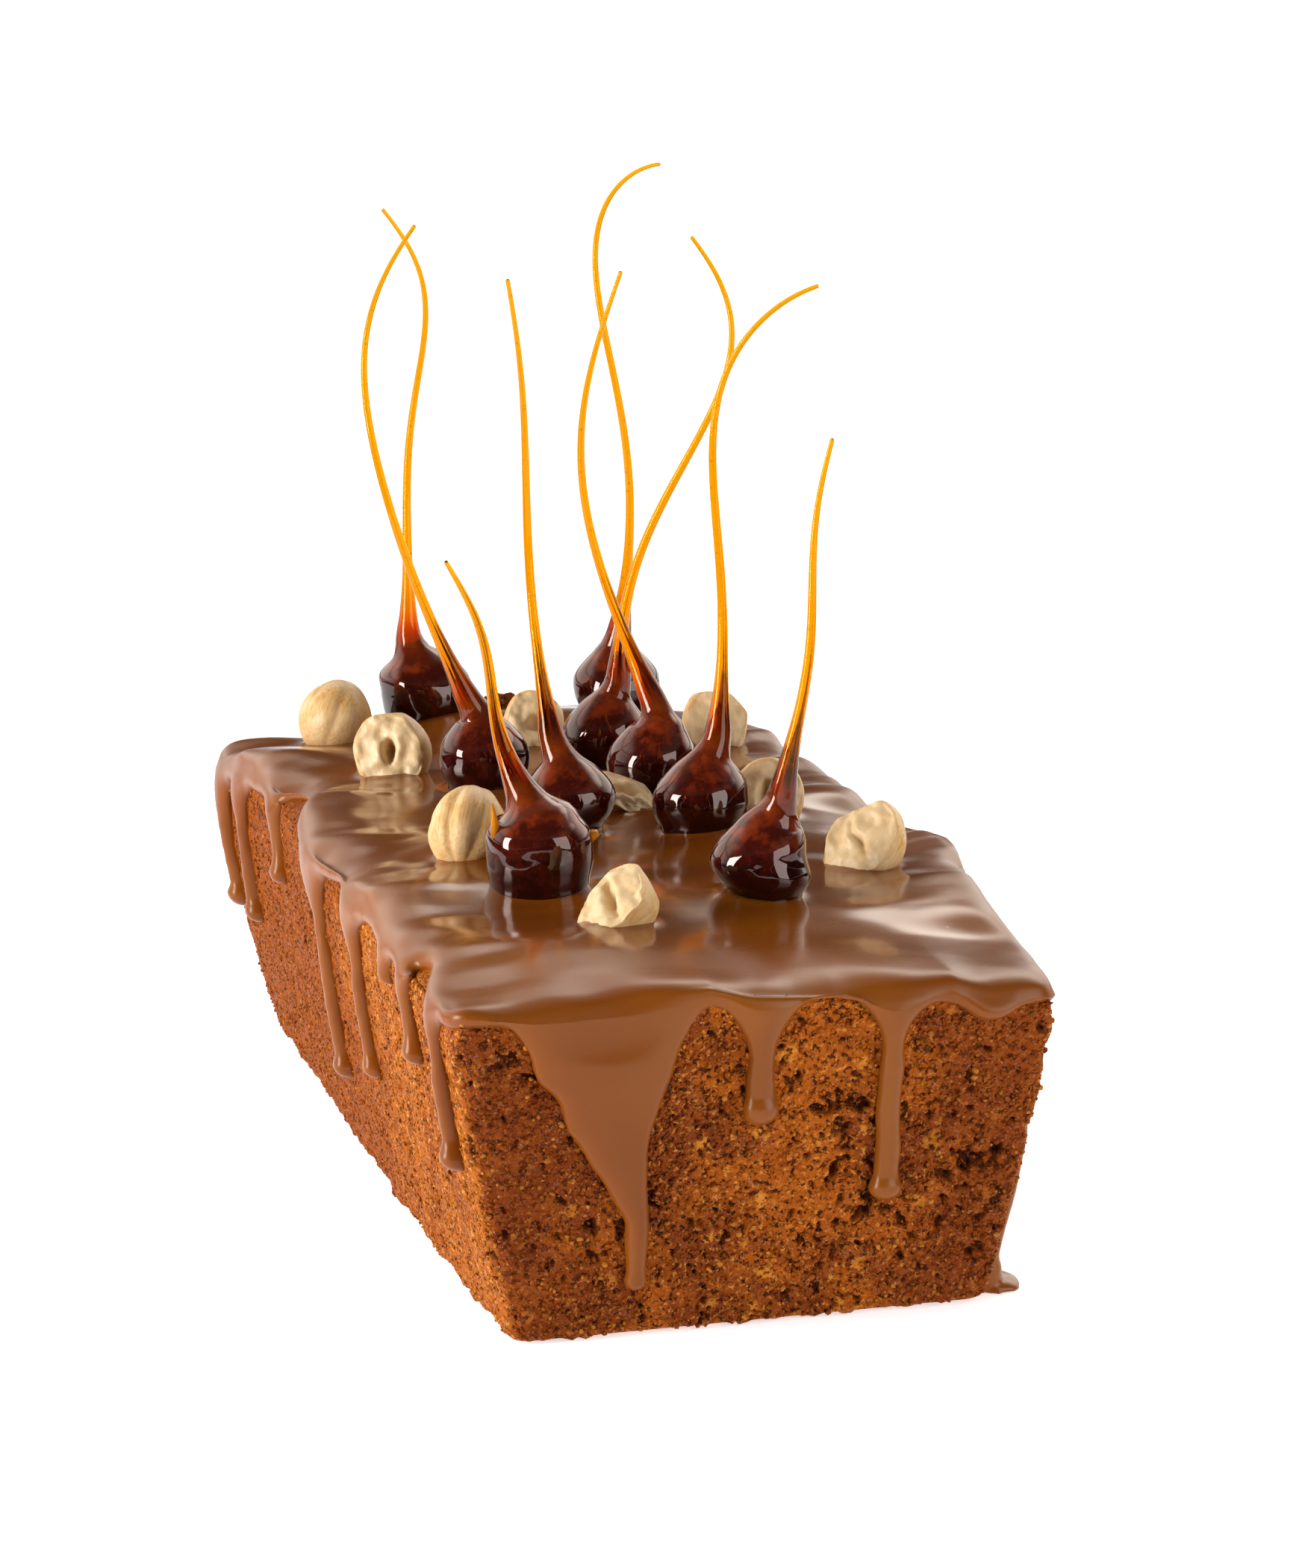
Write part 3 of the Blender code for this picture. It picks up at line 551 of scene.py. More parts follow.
def crumb_relief(points, settings):
    """Relief of the open cut face: its height, its holes, and its bits of nut."""
    large = layered_noise(points, *LARGE_HOLES)
    small = layered_noise(points, *PORES)
    loose = soft_noise(points, *LOOSENESS)
    holes = above_share(large + 0.45 * loose, settings.large_hole_share)
    pores = above_share(small + 0.30 * loose, settings.pore_share)
    distance, own = nearest_seed(points, *NUT_BITS)
    ragged = distance + 0.22 * small + 0.10 * large
    bits = smoothstep(0.30, 0.20, ragged * (0.75 + 2.5 * own)) * (own < BIT_SHARE)
    height = settings.grain * layered_noise(points, *CUT_GRAIN)
    height += CUT_SWELL_HEIGHT * soft_noise(points, *CUT_SWELL)
    height -= settings.hole_depth * holes + 0.6 * settings.hole_depth * pores
    height += BIT_HEIGHT * bits
    return height, np.maximum(holes, 0.8 * pores) * (1.0 - 0.8 * bits), bits


def crust_relief(points, settings):
    """Relief of the baked sides: upright streaks, grain and a few pits."""
    streaks = layered_noise(points * np.array(UPRIGHT_STREAKS), *STREAKS)
    grain = layered_noise(points * np.array(UPRIGHT_GRAIN), *CRUST_GRAIN)
    pits = above_share(layered_noise(points * np.array(UPRIGHT_PITS), *PITS), PIT_SHARE)
    height = settings.streak * streaks + settings.grain * grain
    height += CRUST_SWELL_HEIGHT * soft_noise(points, *CRUST_SWELL)
    height -= 0.5 * settings.hole_depth * pits
    return height, pits, streaks


def roughen_loaf(mesh, settings):
    """Raises the crumb's relief and keeps its holes, bits and crust as attributes."""
    points, outward = coords_of(mesh), normals_of(mesh)
    cut, cut_holes, bits = crumb_relief(points, settings)
    baked, pits, streaks = crust_relief(points, settings)
    open_face = smoothstep(0.45, 0.85, -outward[:, 1])
    height = cut * open_face + baked * (1.0 - open_face)
    corner = smoothstep(0.3, 0.6, np.abs(outward[:, 0])) * smoothstep(0.3, 0.6, -outward[:, 1])
    height += corner * CORNER_HEIGHT * layered_noise(points, *CORNER_CRUMBLE)
    foot = smoothstep(*FOOT_FADE, points[:, 2])
    height += foot * FOOT_HEIGHT * layered_noise(points, *FOOT_CRUMBLE)
    flat_foot = outward[:, 2] < -0.9
    covered = smoothstep(0.5, 0.9, outward[:, 2])
    height = np.where(flat_foot, 0.0, height * (1.0 - covered))
    moved = points + outward * np.clip(height, -DEEPEST, settings.highest)[:, None]
    moved[:, 2] = np.where(flat_foot, points[:, 2], np.maximum(moved[:, 2], 0.0))
    set_coords(mesh, np.clip(moved, *CAD_BOUNDS))
    add_attribute(mesh, "tone", np.full(len(points), 0.5))
    add_attribute(mesh, "hole", cut_holes * open_face + pits * (1.0 - open_face))
    add_attribute(mesh, "bit", bits * open_face)
    add_attribute(mesh, "crust", 1.0 - open_face)
    add_attribute(mesh, "streak", streaks * (1.0 - open_face))


def repeated(template, matrices, name):
    """One mesh of many copies of a small mesh, each put through its own matrix."""
    base = coords_of(template)
    corners = np.array([face.vertices[:] for face in template.polygons])
    points = np.einsum("nij,vj->nvi", matrices[:, :3, :3], base) + matrices[:, None, :3, 3]
    offsets = np.arange(len(matrices)) * len(base)
    faces = corners[None] + offsets[:, None, None]
    mesh = bpy.data.meshes.new(name)
    mesh.from_pydata(points.reshape(-1, 3), [], faces.reshape(-1, corners.shape[1]))
    return mesh


def random_turns(count, generator):
    """Random turns as matrices, from random quaternions."""
    turns = generator.normal(size=(4, count))
    w, x, y, z = turns / np.linalg.norm(turns, axis=0)
    rows = (1 - 2 * (y * y + z * z), 2 * (x * y - z * w), 2 * (x * z + y * w),
            2 * (x * y + z * w), 1 - 2 * (x * x + z * z), 2 * (y * z - x * w),
            2 * (x * z - y * w), 2 * (y * z + x * w), 1 - 2 * (x * x + y * y))
    return np.stack(rows, axis=1).reshape(count, 3, 3)


def grain_matrices(loaf, facing, count, size, generator):
    """Places, turns and sizes of loose grains on the loaf's faces that look some way."""
    points = coords_of(loaf)
    corners = [face.vertices[:3] for face in loaf.polygons]
    corners = points[np.array(corners)]
    facets = np.cross(corners[:, 1] - corners[:, 0], corners[:, 2] - corners[:, 0])
    areas = np.linalg.norm(facets, axis=1)
    normals = facets / np.maximum(areas, 1e-12)[:, None]
    open_air = (corners[:, :, 2].max(axis=1) > GRAIN_CLEARANCE) & (np.abs(normals[:, 2]) < 0.9)
    weights = areas * open_air * (normals @ np.array(facing) > FACING_SHARE)
    chosen = generator.choice(len(areas), size=count, p=weights / weights.sum())
    share = generator.dirichlet((1.0, 1.0, 1.0), count)
    spots = np.einsum("nk,nkj->nj", share, corners[chosen])
    sizes = size * (SMALLEST_GRAIN + SIZE_SPREAD * generator.random(count) ** SIZE_POWER)
    stretch = 0.5 + 1.0 * generator.random((count, 3))
    matrices = np.zeros((count, 4, 4))
    matrices[:, :3, :3] = random_turns(count, generator) * (sizes[:, None] * stretch)[:, None, :]
    matrices[:, :3, 3] = spots + normals[chosen] * (GRAIN_STANDING * sizes)[:, None]
    matrices[:, 2, 3] = np.maximum(matrices[:, 2, 3], 1.2 * sizes)
    return matrices


def grain_mesh(loaf, name, facing, crust, count, size):
    """Loose grains of crumb, each a small faceted lump with a tone of its own."""
    generator = np.random.default_rng(count)
    matrices = grain_matrices(loaf, facing, count, size, generator)
    bm = bmesh.new()
    bmesh.ops.create_icosphere(bm, subdivisions=1, radius=1.0)
    mesh = repeated(mesh_from(bm, "grain"), matrices, name)
    each = len(mesh.vertices) // count
    add_attribute(mesh, "tone", np.repeat(generator.random(count), each))
    add_attribute(mesh, "crust", np.full(len(mesh.vertices), crust))
    return mesh


def cut_face_colour(look, settings, pore, speck):
    """Orange brown with darker patches, pale specks and bits of nut, and painted shade in its pores."""
    broad = look.ranged(look.noise(CUT_PATCH_SCALE, 4.0, 0.6), 0.40, 0.62)
    colour = look.mix(broad, settings.crumb_dark, settings.crumb)
    colour = look.mix(look.math("MULTIPLY", speck, 0.7), colour, settings.crumb_light)
    bit = look.math("MULTIPLY", look.attribute("bit"), 0.8)
    colour = look.mix(bit, colour, settings.nut_bits)
    # Painted shade: the pores are darkened towards near black.
    colour = look.mix(look.math("MULTIPLY", pore, 0.9), colour, settings.painted_hole_shade)
    place = look.add("ShaderNodeSeparateXYZ", Vector=look.place)
    aside = look.math("ABSOLUTE", place.outputs["X"], 0.0)
    return look.mix(look.ranged(aside, *DARK_ASIDE), colour, settings.crumb_dark)


def crust_colour(look, settings, pore, speck):
    """Baked brown with upright streaks and darker patches, most of them at the far end, where they are
    partly painted shade; painted shade in its pores.
    """
    streak = look.ranged(look.attribute("streak"), -0.8, 0.4)
    colour = look.mix(streak, settings.crust_dark, settings.crust)
    place = look.add("ShaderNodeSeparateXYZ", Vector=look.place)
    # Painted shade, in part: the crust darkens towards the far end, partly as browner crust and partly
    # as shade where less light reaches; it also darkens towards the bottom.
    lengthwise = look.ranged(place.outputs["Y"], *DARK_LENGTHWISE)
    far_shade_and_low_darkening = look.math("ADD", lengthwise, look.ranged(place.outputs["Z"], *DARK_UPWARD))
    patches = look.math("ADD", look.noise(CRUST_PATCH_SCALE, 2.0), far_shade_and_low_darkening)
    colour = look.mix(look.math("MULTIPLY", speck, 0.6), colour, settings.crust_light)
    colour = look.mix(look.ranged(patches, 0.42, 0.90, 0.0, 0.80), colour, settings.crust_dark)
    # Painted shade: the pores are darkened towards near black.
    return look.mix(look.math("MULTIPLY", pore, 0.40), colour, settings.painted_hole_shade)


def crumb_material(settings):
    """Baked crumb and crust with painted shade in their holes, grains of their own tone and a moist
    glint.
    """
    look = Look(bpy.data.materials.new("baked_crumb"))
    pore = look.ranged(look.noise(PORE_SCALE, 4.0, 0.68), 0.37, 0.44, 1.0, 0.0)
    speck = look.ranged(look.noise(SPECK_SCALE, 3.0, 0.6), 0.54, 0.68)
    cut = cut_face_colour(look, settings, pore, speck)
    baked = crust_colour(look, settings, pore, speck)
    colour = look.mix(look.attribute("crust"), cut, baked)
    tone, hole = look.attribute("tone"), look.attribute("hole")
    colour = look.mix(look.ranged(tone, 0.75, 1.0, 0.0, 0.55), colour, settings.crumb_light)
    colour = look.mix(look.ranged(tone, 0.30, 0.0, 0.0, 0.6), colour, settings.crumb_dark)
    # Painted shade: the holes of the cut face and the pits of the sides are darkened towards near
    # black.
    colour = look.mix(look.ranged(hole, 0.1, 0.9, 0.0, 0.85), colour, settings.painted_hole_shade)
    moist = look.ranged(look.noise(GLINT_SCALE, 1.0), 0.60, 0.68)
    facets = look.math("MULTIPLY", look.cells(FACET_SCALE), 0.4)
    grain = look.math("ADD", look.noise(FINE_GRAIN_SCALE, 4.0, 0.65), facets)
    grain = look.math("SUBTRACT", grain, look.math("MULTIPLY", pore, 1.2))
    look.shade(Base_Color=colour, Roughness=look.ranged(moist, 0.0, 1.0, 0.7, 0.25))
    look.shade(Specular_IOR_Level=look.ranged(moist, 0.0, 1.0, 0.06, 0.8))
    look.shade(Normal=look.bump(grain, 0.6 * MM, 1.0))
    return look.owner


def crag_mesh():
    """The brown crag of crust that stands up at the far edge."""
    bm = bmesh.new()
    bmesh.ops.create_icosphere(bm, subdivisions=5, radius=1.0)
    for vert in bm.verts:
        rough = 1.0 + sum(size * noise.noise(vert.co * fine) for fine, size in CRAG_ROUGHNESS)
        for axis in range(3):
            vert.co[axis] = CRAG_PLACE[axis] + vert.co[axis] * CRAG_HALF_SIZE[axis] * rough
    return mesh_from(bm, "crag")


# ---------------------------------------------------------------------------------- the icing

ICING_THICKNESS = 2.4 * MM
LIP_LENGTH = 1.8 * MM
SIDE_BORDER = 2.4 * MM
NEAR_BORDER = 0.7 * MM
BORDER_WAVE = 1.0 * MM

# side, place along it, reach and amount: where the border runs higher, and where it hangs fuller
BARE_SPOTS = (
    ("left", -93 * MM, 8 * MM, 4.0 * MM),
    ("left", -28 * MM, 6 * MM, 2.0 * MM),
    ("left", 36 * MM, 12 * MM, 5.5 * MM),
    ("right", 38 * MM, 12 * MM, 3.5 * MM),
    ("far", -12 * MM, 9 * MM, 3.0 * MM),
)
SWELLINGS = (
    ("right", -43 * MM, 17 * MM, 4.4 * MM),
    ("right", 70 * MM, 14 * MM, 1.2 * MM),
    ("left", -5 * MM, 14 * MM, 0.8 * MM),
    ("left", 100 * MM, 12 * MM, 0.8 * MM),
    ("near", -30 * MM, 12 * MM, 0.6 * MM),
)

DRIP_ROOT_THICKNESS = 2.3 * MM
DRIP_NECK_THICKNESS = 2.2 * MM
BEAD_THICKNESS = 3.3 * MM
BEAD_STANDING = 1.35             # thickness of a bead, in its own radii
FLARE_POWER = 1.7

# A drip, in millimetres: its side and place along it, the height of its tip, half its width at
# the neck, its bead's radius, and how much wider and how far down it flares on both sides.
Drip = namedtuple("Drip", "side place tip neck bead before before_run after after_run power",
                  defaults=(FLARE_POWER,))
DRIPS = (
    Drip("near", -19.8, 8.0, 1.5, 1.9, 22.0, 38.0, 10.5, 27.0, 1.0),
    Drip("near", 0.2, 35.5, 2.1, 2.9, 7.0, 11.0, 7.5, 12.0),
    Drip("near", 21.9, 20.3, 1.8, 2.4, 5.5, 9.0, 8.0, 9.0),
    Drip("near", 38.2, 49.6, 3.5, 2.6, 4.0, 3.0, 4.0, 3.0),
    Drip("left", -109.0, 29.5, 1.2, 2.4, 6.0, 9.0, 5.0, 10.0),
    Drip("left", -87.0, 41.5, 1.4, 2.2, 5.0, 5.0, 6.0, 12.0),
    Drip("left", -71.0, 50.0, 2.0, 2.4, 5.0, 5.0, 5.0, 5.0),
    Drip("left", -41.0, 27.0, 1.1, 2.1, 14.0, 9.0, 9.0, 15.0),
    Drip("left", -5.0, 17.5, 1.5, 2.3, 10.0, 12.0, 17.0, 14.0),
    Drip("left", 49.0, 41.0, 1.5, 2.3, 3.0, 8.0, 10.0, 12.0),
    Drip("left", 82.0, 26.0, 1.3, 2.3, 8.0, 12.0, 6.0, 12.0),
    Drip("left", 102.0, 24.5, 1.3, 2.6, 6.0, 12.0, 3.0, 18.0),
    Drip("right", -105.5, 0.3, 2.6, 3.0, 7.0, 14.0, 8.0, 12.0),
    Drip("right", -74.0, 31.0, 1.4, 2.4, 6.0, 10.0, 9.0, 10.0),
    Drip("right", -41.0, 17.0, 1.5, 2.3, 12.0, 12.0, 14.0, 14.0),
    Drip("right", -9.0, 45.0, 1.8, 2.6, 6.0, 7.0, 6.0, 8.0),
    Drip("right", 18.0, 27.0, 1.3, 2.2, 8.0, 9.0, 10.0, 16.0),
    Drip("right", 58.0, 36.0, 1.5, 2.4, 10.0, 9.0, 7.0, 9.0),
    Drip("right", 91.0, 21.0, 1.4, 2.3, 6.0, 12.0, 9.0, 10.0),
    Drip("far", -27.0, 30.0, 1.5, 2.3, 9.0, 12.0, 6.0, 8.0),
    Drip("far", 3.0, 17.0, 1.4, 2.4, 7.0, 8.0, 16.0, 22.0),
    Drip("far", 31.0, 38.0, 1.6, 2.5, 6.0, 8.0, 7.0, 9.0),
)
POOL_PLACE = (44.0 * MM, -103.5 * MM)
POOL_HALF_SIZE = (4.6 * MM, 5.4 * MM, 1.9 * MM)

RIM_HEIGHT = 58 * MM
WAVE_LENGTH = 15 * MM
WAVE_STRETCH = (((0.75, 1.05, 1.0), 131), ((1.0, 0.8, 1.0), 151))   # at the sides, at the ends
RIPPLES = (2.2, 0.38)            # fineness and height of the waves' second layer
END_WAVES = (0.6, 0.5)           # reach and height of the end waves, of those at the sides
SWELL_LENGTH = 1.6               # of the calm swell in the middle, in wavelengths
SWELL_SEED = 171
LEAST_COVER = 0.9 * MM           # glaze over the crumb under the deepest wave
COVER_SOFTNESS = 0.5 * MM
WAVE_REACH = 15 * MM
FOLD = 0.9 * MM                  # the broad drip of the cut face swells out under the rim
FOLD_PLACE = (-23 * MM, 46.5 * MM)
FOLD_HOLLOW = 9 * MM             # the fold's hollow lies this far over it
FOLD_REACH = (15 * MM, 4.5 * MM)
HOLLOW_DEPTH = 1.3               # in folds
RIM_PLUMPNESS = 1.4              # how much more the rim swells out
LIFT_SHARE = 0.3                 # how much of the plumpness lifts the lid
FOOT_HEIGHT_READ = 3.0 * MM      # a topping's foot is read from this much of its solid
MENISCUS_START = 0.86            # in radii of the foot
MENISCUS_RUN = 1.1 * MM
SAG = 2.0 * MM
SAG_RUN = 7 * MM
RIM_WAVER = 0.75                 # unevenness of the rim over the cut face, in sags
WAVER_FIELD = (13 * MM, 211)     # wavelength and seed
DRIP_SWELL_FIELD = (9 * MM, 191)
CALM_SHARE = 0.85                # waves in the middle, of those at the rims
ICING_PATCH_SCALE = 28.0         # features to the metre
ICING_DIMPLE_SCALE = 420.0
RIM_ROUGHNESS = 0.13             # how much less glossy the rims and the drips are
WARM_GLOSS = (1.0, 0.90, 0.74, 1.0)
LID_SPACING = 2.5 * MM
LID_CORNER_STEPS = 10

# share of the lip's length, and share of its cover, with -1 for the buried start
LIP_STEPS = ((0.0, -1.0), (0.0, 0.2), (0.08, 0.5), (0.25, 0.76), (0.55, 0.93))

RIM_STEPS = (0.0, 0.15, 0.3, 0.45, 0.6, 0.75, 0.9, 1.0)
LID_TOP_INSETS = tuple(inset * MM for inset in (8, 10, 12, 14, 16, 18, 21, 26, 34, 42))
LID_BURIED = 1.6 * MM
DRIP_BURIED = 1.6 * MM
BURIED_WIDTH = 0.6               # of a buried drip's back, in its own width
DRIP_OUTER_POINTS = 15
DRIP_FULLNESS = 0.65
ROOT_SLACKNESS = 0.35            # a drip's section is less full where it leaves the lid
ROOT_ROUNDING = 3.0 * MM
ROOT_START = 2.8 * MM
ROOT_RUN = 14 * MM               # length of a drip over which its section fills out
FREE_RUN = 12 * MM               # and over which it starts to wander
THICKNESS_RUN = 15 * MM
BEND_LENGTH = 9 * MM
BULGE_LENGTH = 5 * MM
BULGE = 0.12
DRIP_LEVELS = 22
BEAD_LEVELS = 9


def outline(z, inset):
    """The loaf's rounded outline at a height: points in the plane with outward directions."""
    right = half_width(z) - inset
    near, far = near_edge(z) + inset, far_edge(z) - inset
    near_radius = max(NEAR_CORNER_RADIUS - inset, 0.4 * MM)
    far_radius = max(FAR_CORNER_RADIUS - inset, 0.6 * MM)
    corners = (
        (Vector((-right + near_radius, near + near_radius)), near_radius, 180),
        (Vector((right - near_radius, near + near_radius)), near_radius, 270),
        (Vector((right - far_radius, far - far_radius)), far_radius, 0),
        (Vector((-right + far_radius, far - far_radius)), far_radius, 90),
    )
    side_lengths = (2 * half_width(LEAN_HEIGHT), 2 * BASE_HALF_LENGTH) * 2
    points = []
    for index, (centre, radius, first_angle) in enumerate(corners):
        for step in range(LID_CORNER_STEPS + 1):
            angle = math.radians(first_angle + 90.0 * step / LID_CORNER_STEPS)
            out = Vector((math.cos(angle), math.sin(angle)))
            points.append((centre + out * radius, out))
        next_centre, next_radius = corners[(index + 1) % 4][:2]
        start, out = points[-1]
        end = next_centre + out * next_radius
        steps = max(2, round(side_lengths[index] / LID_SPACING))
        for step in range(1, steps):
            points.append((start.lerp(end, step / steps), out.copy()))
    for flat, out in points:
        flat.x = settled_x(flat.x, flat.y, z)
    return points


def shoulder_radius(out):
    return SHOULDER_RADIUS + (CUT_EDGE_RADIUS - SHOULDER_RADIUS) * smoothstep(0.5, 1.0, -out.y)


def lean_of(out):
    return SIDE_LEAN * out.x ** 2 + (FAR_LEAN if out.y > 0 else NEAR_LEAN) * out.y ** 2


def edge_point(item, offset, height):
    """A point near the top edge: its offset out from the side, and height from the edge.

    An item is a point of the outline, its outward direction, and the point further in.
    """
    flat, out, within = item
    rounding = flat.lerp(within, shoulder_radius(out) / SHOULDER_RADIUS)
    z = crumb_top(rounding.x, rounding.y) + height
    if offset < 0.0:
        flat = flat.lerp(within, -offset / SHOULDER_RADIUS)
        offset = 0.0
    flat = flat + out * (offset + lean_of(out) * (z - LEAN_HEIGHT) / LEAN_HEIGHT)
    return (flat.x, flat.y, z)


def spot_strength(spots, flat, out):
    """Sum of the named spots' amounts at a point of the outline."""
    total = 0.0
    for side, place, reach, amount in spots:
        if side in ("left", "right"):
            facing, along = (-out.x if side == "left" else out.x), flat.y
        else:
            facing, along = (-out.y if side == "near" else out.y), flat.x
        total += amount * smoothstep(0.3, 0.8, facing) * math.exp(-((along - place) / reach) ** 2)
    return total


def border_level(flat, out):
    """Where the icing's border runs, along the section from the start of the rounded edge."""
    wave = noise.noise(Vector((flat.x, flat.y, 0.0)) * 45.0)
    base = SIDE_BORDER + (NEAR_BORDER - SIDE_BORDER) * smoothstep(0.5, 1.0, -out.y)
    return base + BORDER_WAVE * wave + spot_strength(BARE_SPOTS, flat, out)


def rim_point(item, along, cover):
    """A point over the rounded edge: a length along the crumb's section, and a cover on it."""
    radius = shoulder_radius(item[1])
    quarter = radius * math.pi / 2.0
    if along <= 0.0:
        return edge_point(item, cover, along - radius)
    if along <= quarter:
        angle = along / radius
        reach = radius + cover
        return edge_point(item, reach * math.cos(angle) - radius, reach * math.sin(angle) - radius)
    return edge_point(item, quarter - along - radius, cover)


def add_lid(bm):
    """The poured top, with a rounded rim that hangs a little over every edge."""
    edge = outline(LEAN_HEIGHT, 0.0)
    inner = outline(LEAN_HEIGHT, SHOULDER_RADIUS)
    rows = [[] for step in LIP_STEPS + RIM_STEPS]
    for (flat, out), (within, _) in zip(edge, inner):
        item = (flat, out, within)
        radius = shoulder_radius(out)
        level = border_level(flat, out)
        side_cover = ICING_THICKNESS + spot_strength(SWELLINGS, flat, out)
        full = level + LIP_LENGTH
        end = max(radius * math.pi / 2.0, full + 0.6 * MM)
        for row, (along, share) in zip(rows, LIP_STEPS):
            cover = side_cover * share if share >= 0.0 else -LID_BURIED
            row.append(rim_point(item, level + along * LIP_LENGTH, cover))
        for row, step in zip(rows[len(LIP_STEPS):], RIM_STEPS):
            cover = side_cover + (ICING_THICKNESS - side_cover) * step
            row.append(rim_point(item, full + (end - full) * step, cover))
    for inset in LID_TOP_INSETS:
        ring = outline(LEAN_HEIGHT, inset)
        rows.append([(flat.x, flat.y, crumb_top(flat.x, flat.y) + ICING_THICKNESS)
                     for flat, out in ring])
    loft(bm, rows)


def flare(depth, run, power):
    return max(0.0, 1.0 - max(0.0, depth) / run) ** power


def rounded_root(depth, out):
    """How far a drip may stand out at a depth under its root, where it rounds out of the lid."""
    radius = shoulder_radius(out) + ROOT_ROUNDING
    gap = max(0.0, radius - ROOT_START - depth)
    return math.sqrt(radius ** 2 - gap ** 2) - radius + DRIP_ROOT_THICKNESS


def drip_section(drip, z, root, out):
    """Half widths to both sides, and thickness, of a drip at a height."""
    bead = drip.bead * MM
    from_middle = (z - drip.tip * MM - bead) / bead
    rounding = math.sqrt(max(0.0, 1.0 - from_middle ** 2))
    depth = root - z + min(0.0, from_middle) * bead
    before = drip.neck * MM + drip.before * MM * flare(depth, drip.before_run * MM, drip.power)
    after = drip.neck * MM + drip.after * MM * flare(depth, drip.after_run * MM, FLARE_POWER)
    thickness = DRIP_NECK_THICKNESS
    thickness += (DRIP_ROOT_THICKNESS - thickness) * flare(depth, THICKNESS_RUN, 1.0)
    thickness = min(thickness, rounded_root(depth, out))
    full = min(BEAD_STANDING * bead, BEAD_THICKNESS)
    sizes = ((before, bead), (after, bead), (thickness, full))
    if from_middle < 0.0:
        return [max(drawn, round_size) * rounding for drawn, round_size in sizes]
    return [max(drawn, round_size * rounding) for drawn, round_size in sizes]


def drip_ring(centre, along, out, section, swell, fullness):
    """One ring of a drip: its full outer face, and two points buried in the crumb."""
    before, after, thickness = section
    ring = []
    for index in range(DRIP_OUTER_POINTS):
        angle = math.pi * index / (DRIP_OUTER_POINTS - 1)
        reach = after if math.cos(angle) > 0 else -before
        aside = reach * swell * abs(math.cos(angle)) ** fullness
        lift = thickness * math.sin(angle) ** fullness
        ring.append(centre + along * aside + out * lift)
    for reach in (-before, after):
        ring.append(centre + along * (BURIED_WIDTH * reach) - out * DRIP_BURIED)
    return ring


def add_drip(bm, drip, number, settings):
    """One drip that wanders a little on its way down and ends in a bead."""
    place = drip.place * MM
    edge, out = side_point(drip.side, place, LEAN_HEIGHT)
    inner = edge - out * SHOULDER_RADIUS
    root = crumb_top(inner.x, inner.y) - 0.4 * MM
    bead = drip.bead * MM
    middle = drip.tip * MM + bead
    along = Vector((abs(out.y), abs(out.x), 0))
    start = min(middle + bead, (root + middle) / 2.0)
    heights = [root + (start - root) * step / DRIP_LEVELS for step in range(DRIP_LEVELS)]
    low = drip.tip * MM
    for step in range(BEAD_LEVELS):
        heights.append(low + (start - low) * (1.0 + math.cos(math.pi * step / BEAD_LEVELS)) / 2.0)
    rings = []
    for z in heights:
        section = drip_section(drip, z, root, out)
        fullness = DRIP_FULLNESS + ROOT_SLACKNESS * flare(root - z, ROOT_RUN, 1.0)
        free = smoothstep(0.0, FREE_RUN, root - z)
        bend = noise.noise(Vector((number * 3.7, 0.0, z / BEND_LENGTH)))
        wander = settings.drip_wander * free * bend
        bulge = noise.noise(Vector((number * 1.9, 5.0, z / BULGE_LENGTH)))
        swell = 1.0 + BULGE * free * bulge
        centre, out = side_point(drip.side, place + wander, z)
        rings.append(drip_ring(centre, along, out, section, swell, fullness))
    loft(bm, rings)


def add_pool(bm):
    """The small pool at the foot of the longest drip, flat underneath."""
    verts = bmesh.ops.create_uvsphere(bm, u_segments=40, v_segments=24, radius=1.0)["verts"]
    for vert in verts:
        reach = 1.0 + 0.10 * noise.noise(Vector((vert.co.x, vert.co.y, 0.0)) * 1.7)
        x, y, z = vert.co
        vert.co.x = POOL_PLACE[0] + x * POOL_HALF_SIZE[0] * reach
        vert.co.y = POOL_PLACE[1] + y * POOL_HALF_SIZE[1] * reach
        vert.co.z = max(z, 0.0) ** 0.8 * POOL_HALF_SIZE[2]


def edge_distances(points):
    """How far points lie inside the left, right, near and far top edges."""
    x, y = points[:, 0], points[:, 1]
    half = half_width(RIM_HEIGHT)
    pinch = PINCH * np.exp(-((y - PINCH_PLACE) / PINCH_REACH) ** 2)
    gaps = (x + half - pinch, half - x, y - near_edge(RIM_HEIGHT), far_edge(RIM_HEIGHT) - y)
    return np.stack(gaps)


def rim_share(distances, reach):
    """1 at an edge, fading inwards over a reach, from the distances to some edges."""
    return 1.0 - np.prod(1.0 - np.exp(-np.maximum(distances, 0.0) / reach), axis=0)


def glaze_waves(points, settings):
    """How far the glaze rises over its even level: slow waves that run out to the rims."""
    distances = edge_distances(points)
    flat = points * np.array((1.0, 1.0, 0.0))
    fields = []
    fineness, ripple_height = RIPPLES
    for stretch, seed in WAVE_STRETCH:
        run = flat * np.array(stretch)
        ripples = soft_noise(run, WAVE_LENGTH / fineness, seed + 1)
        fields.append(soft_noise(run, WAVE_LENGTH, seed) + ripple_height * ripples)
    end_reach, end_height = END_WAVES
    aside = rim_share(distances[:2], WAVE_REACH)
    at_ends = rim_share(distances[2:], end_reach * WAVE_REACH)
    even = soft_noise(flat, SWELL_LENGTH * WAVE_LENGTH, SWELL_SEED)
    total = aside * fields[0] + end_height * (1.0 - aside) * at_ends * fields[1]
    return settings.wave_height * (total + CALM_SHARE * even)


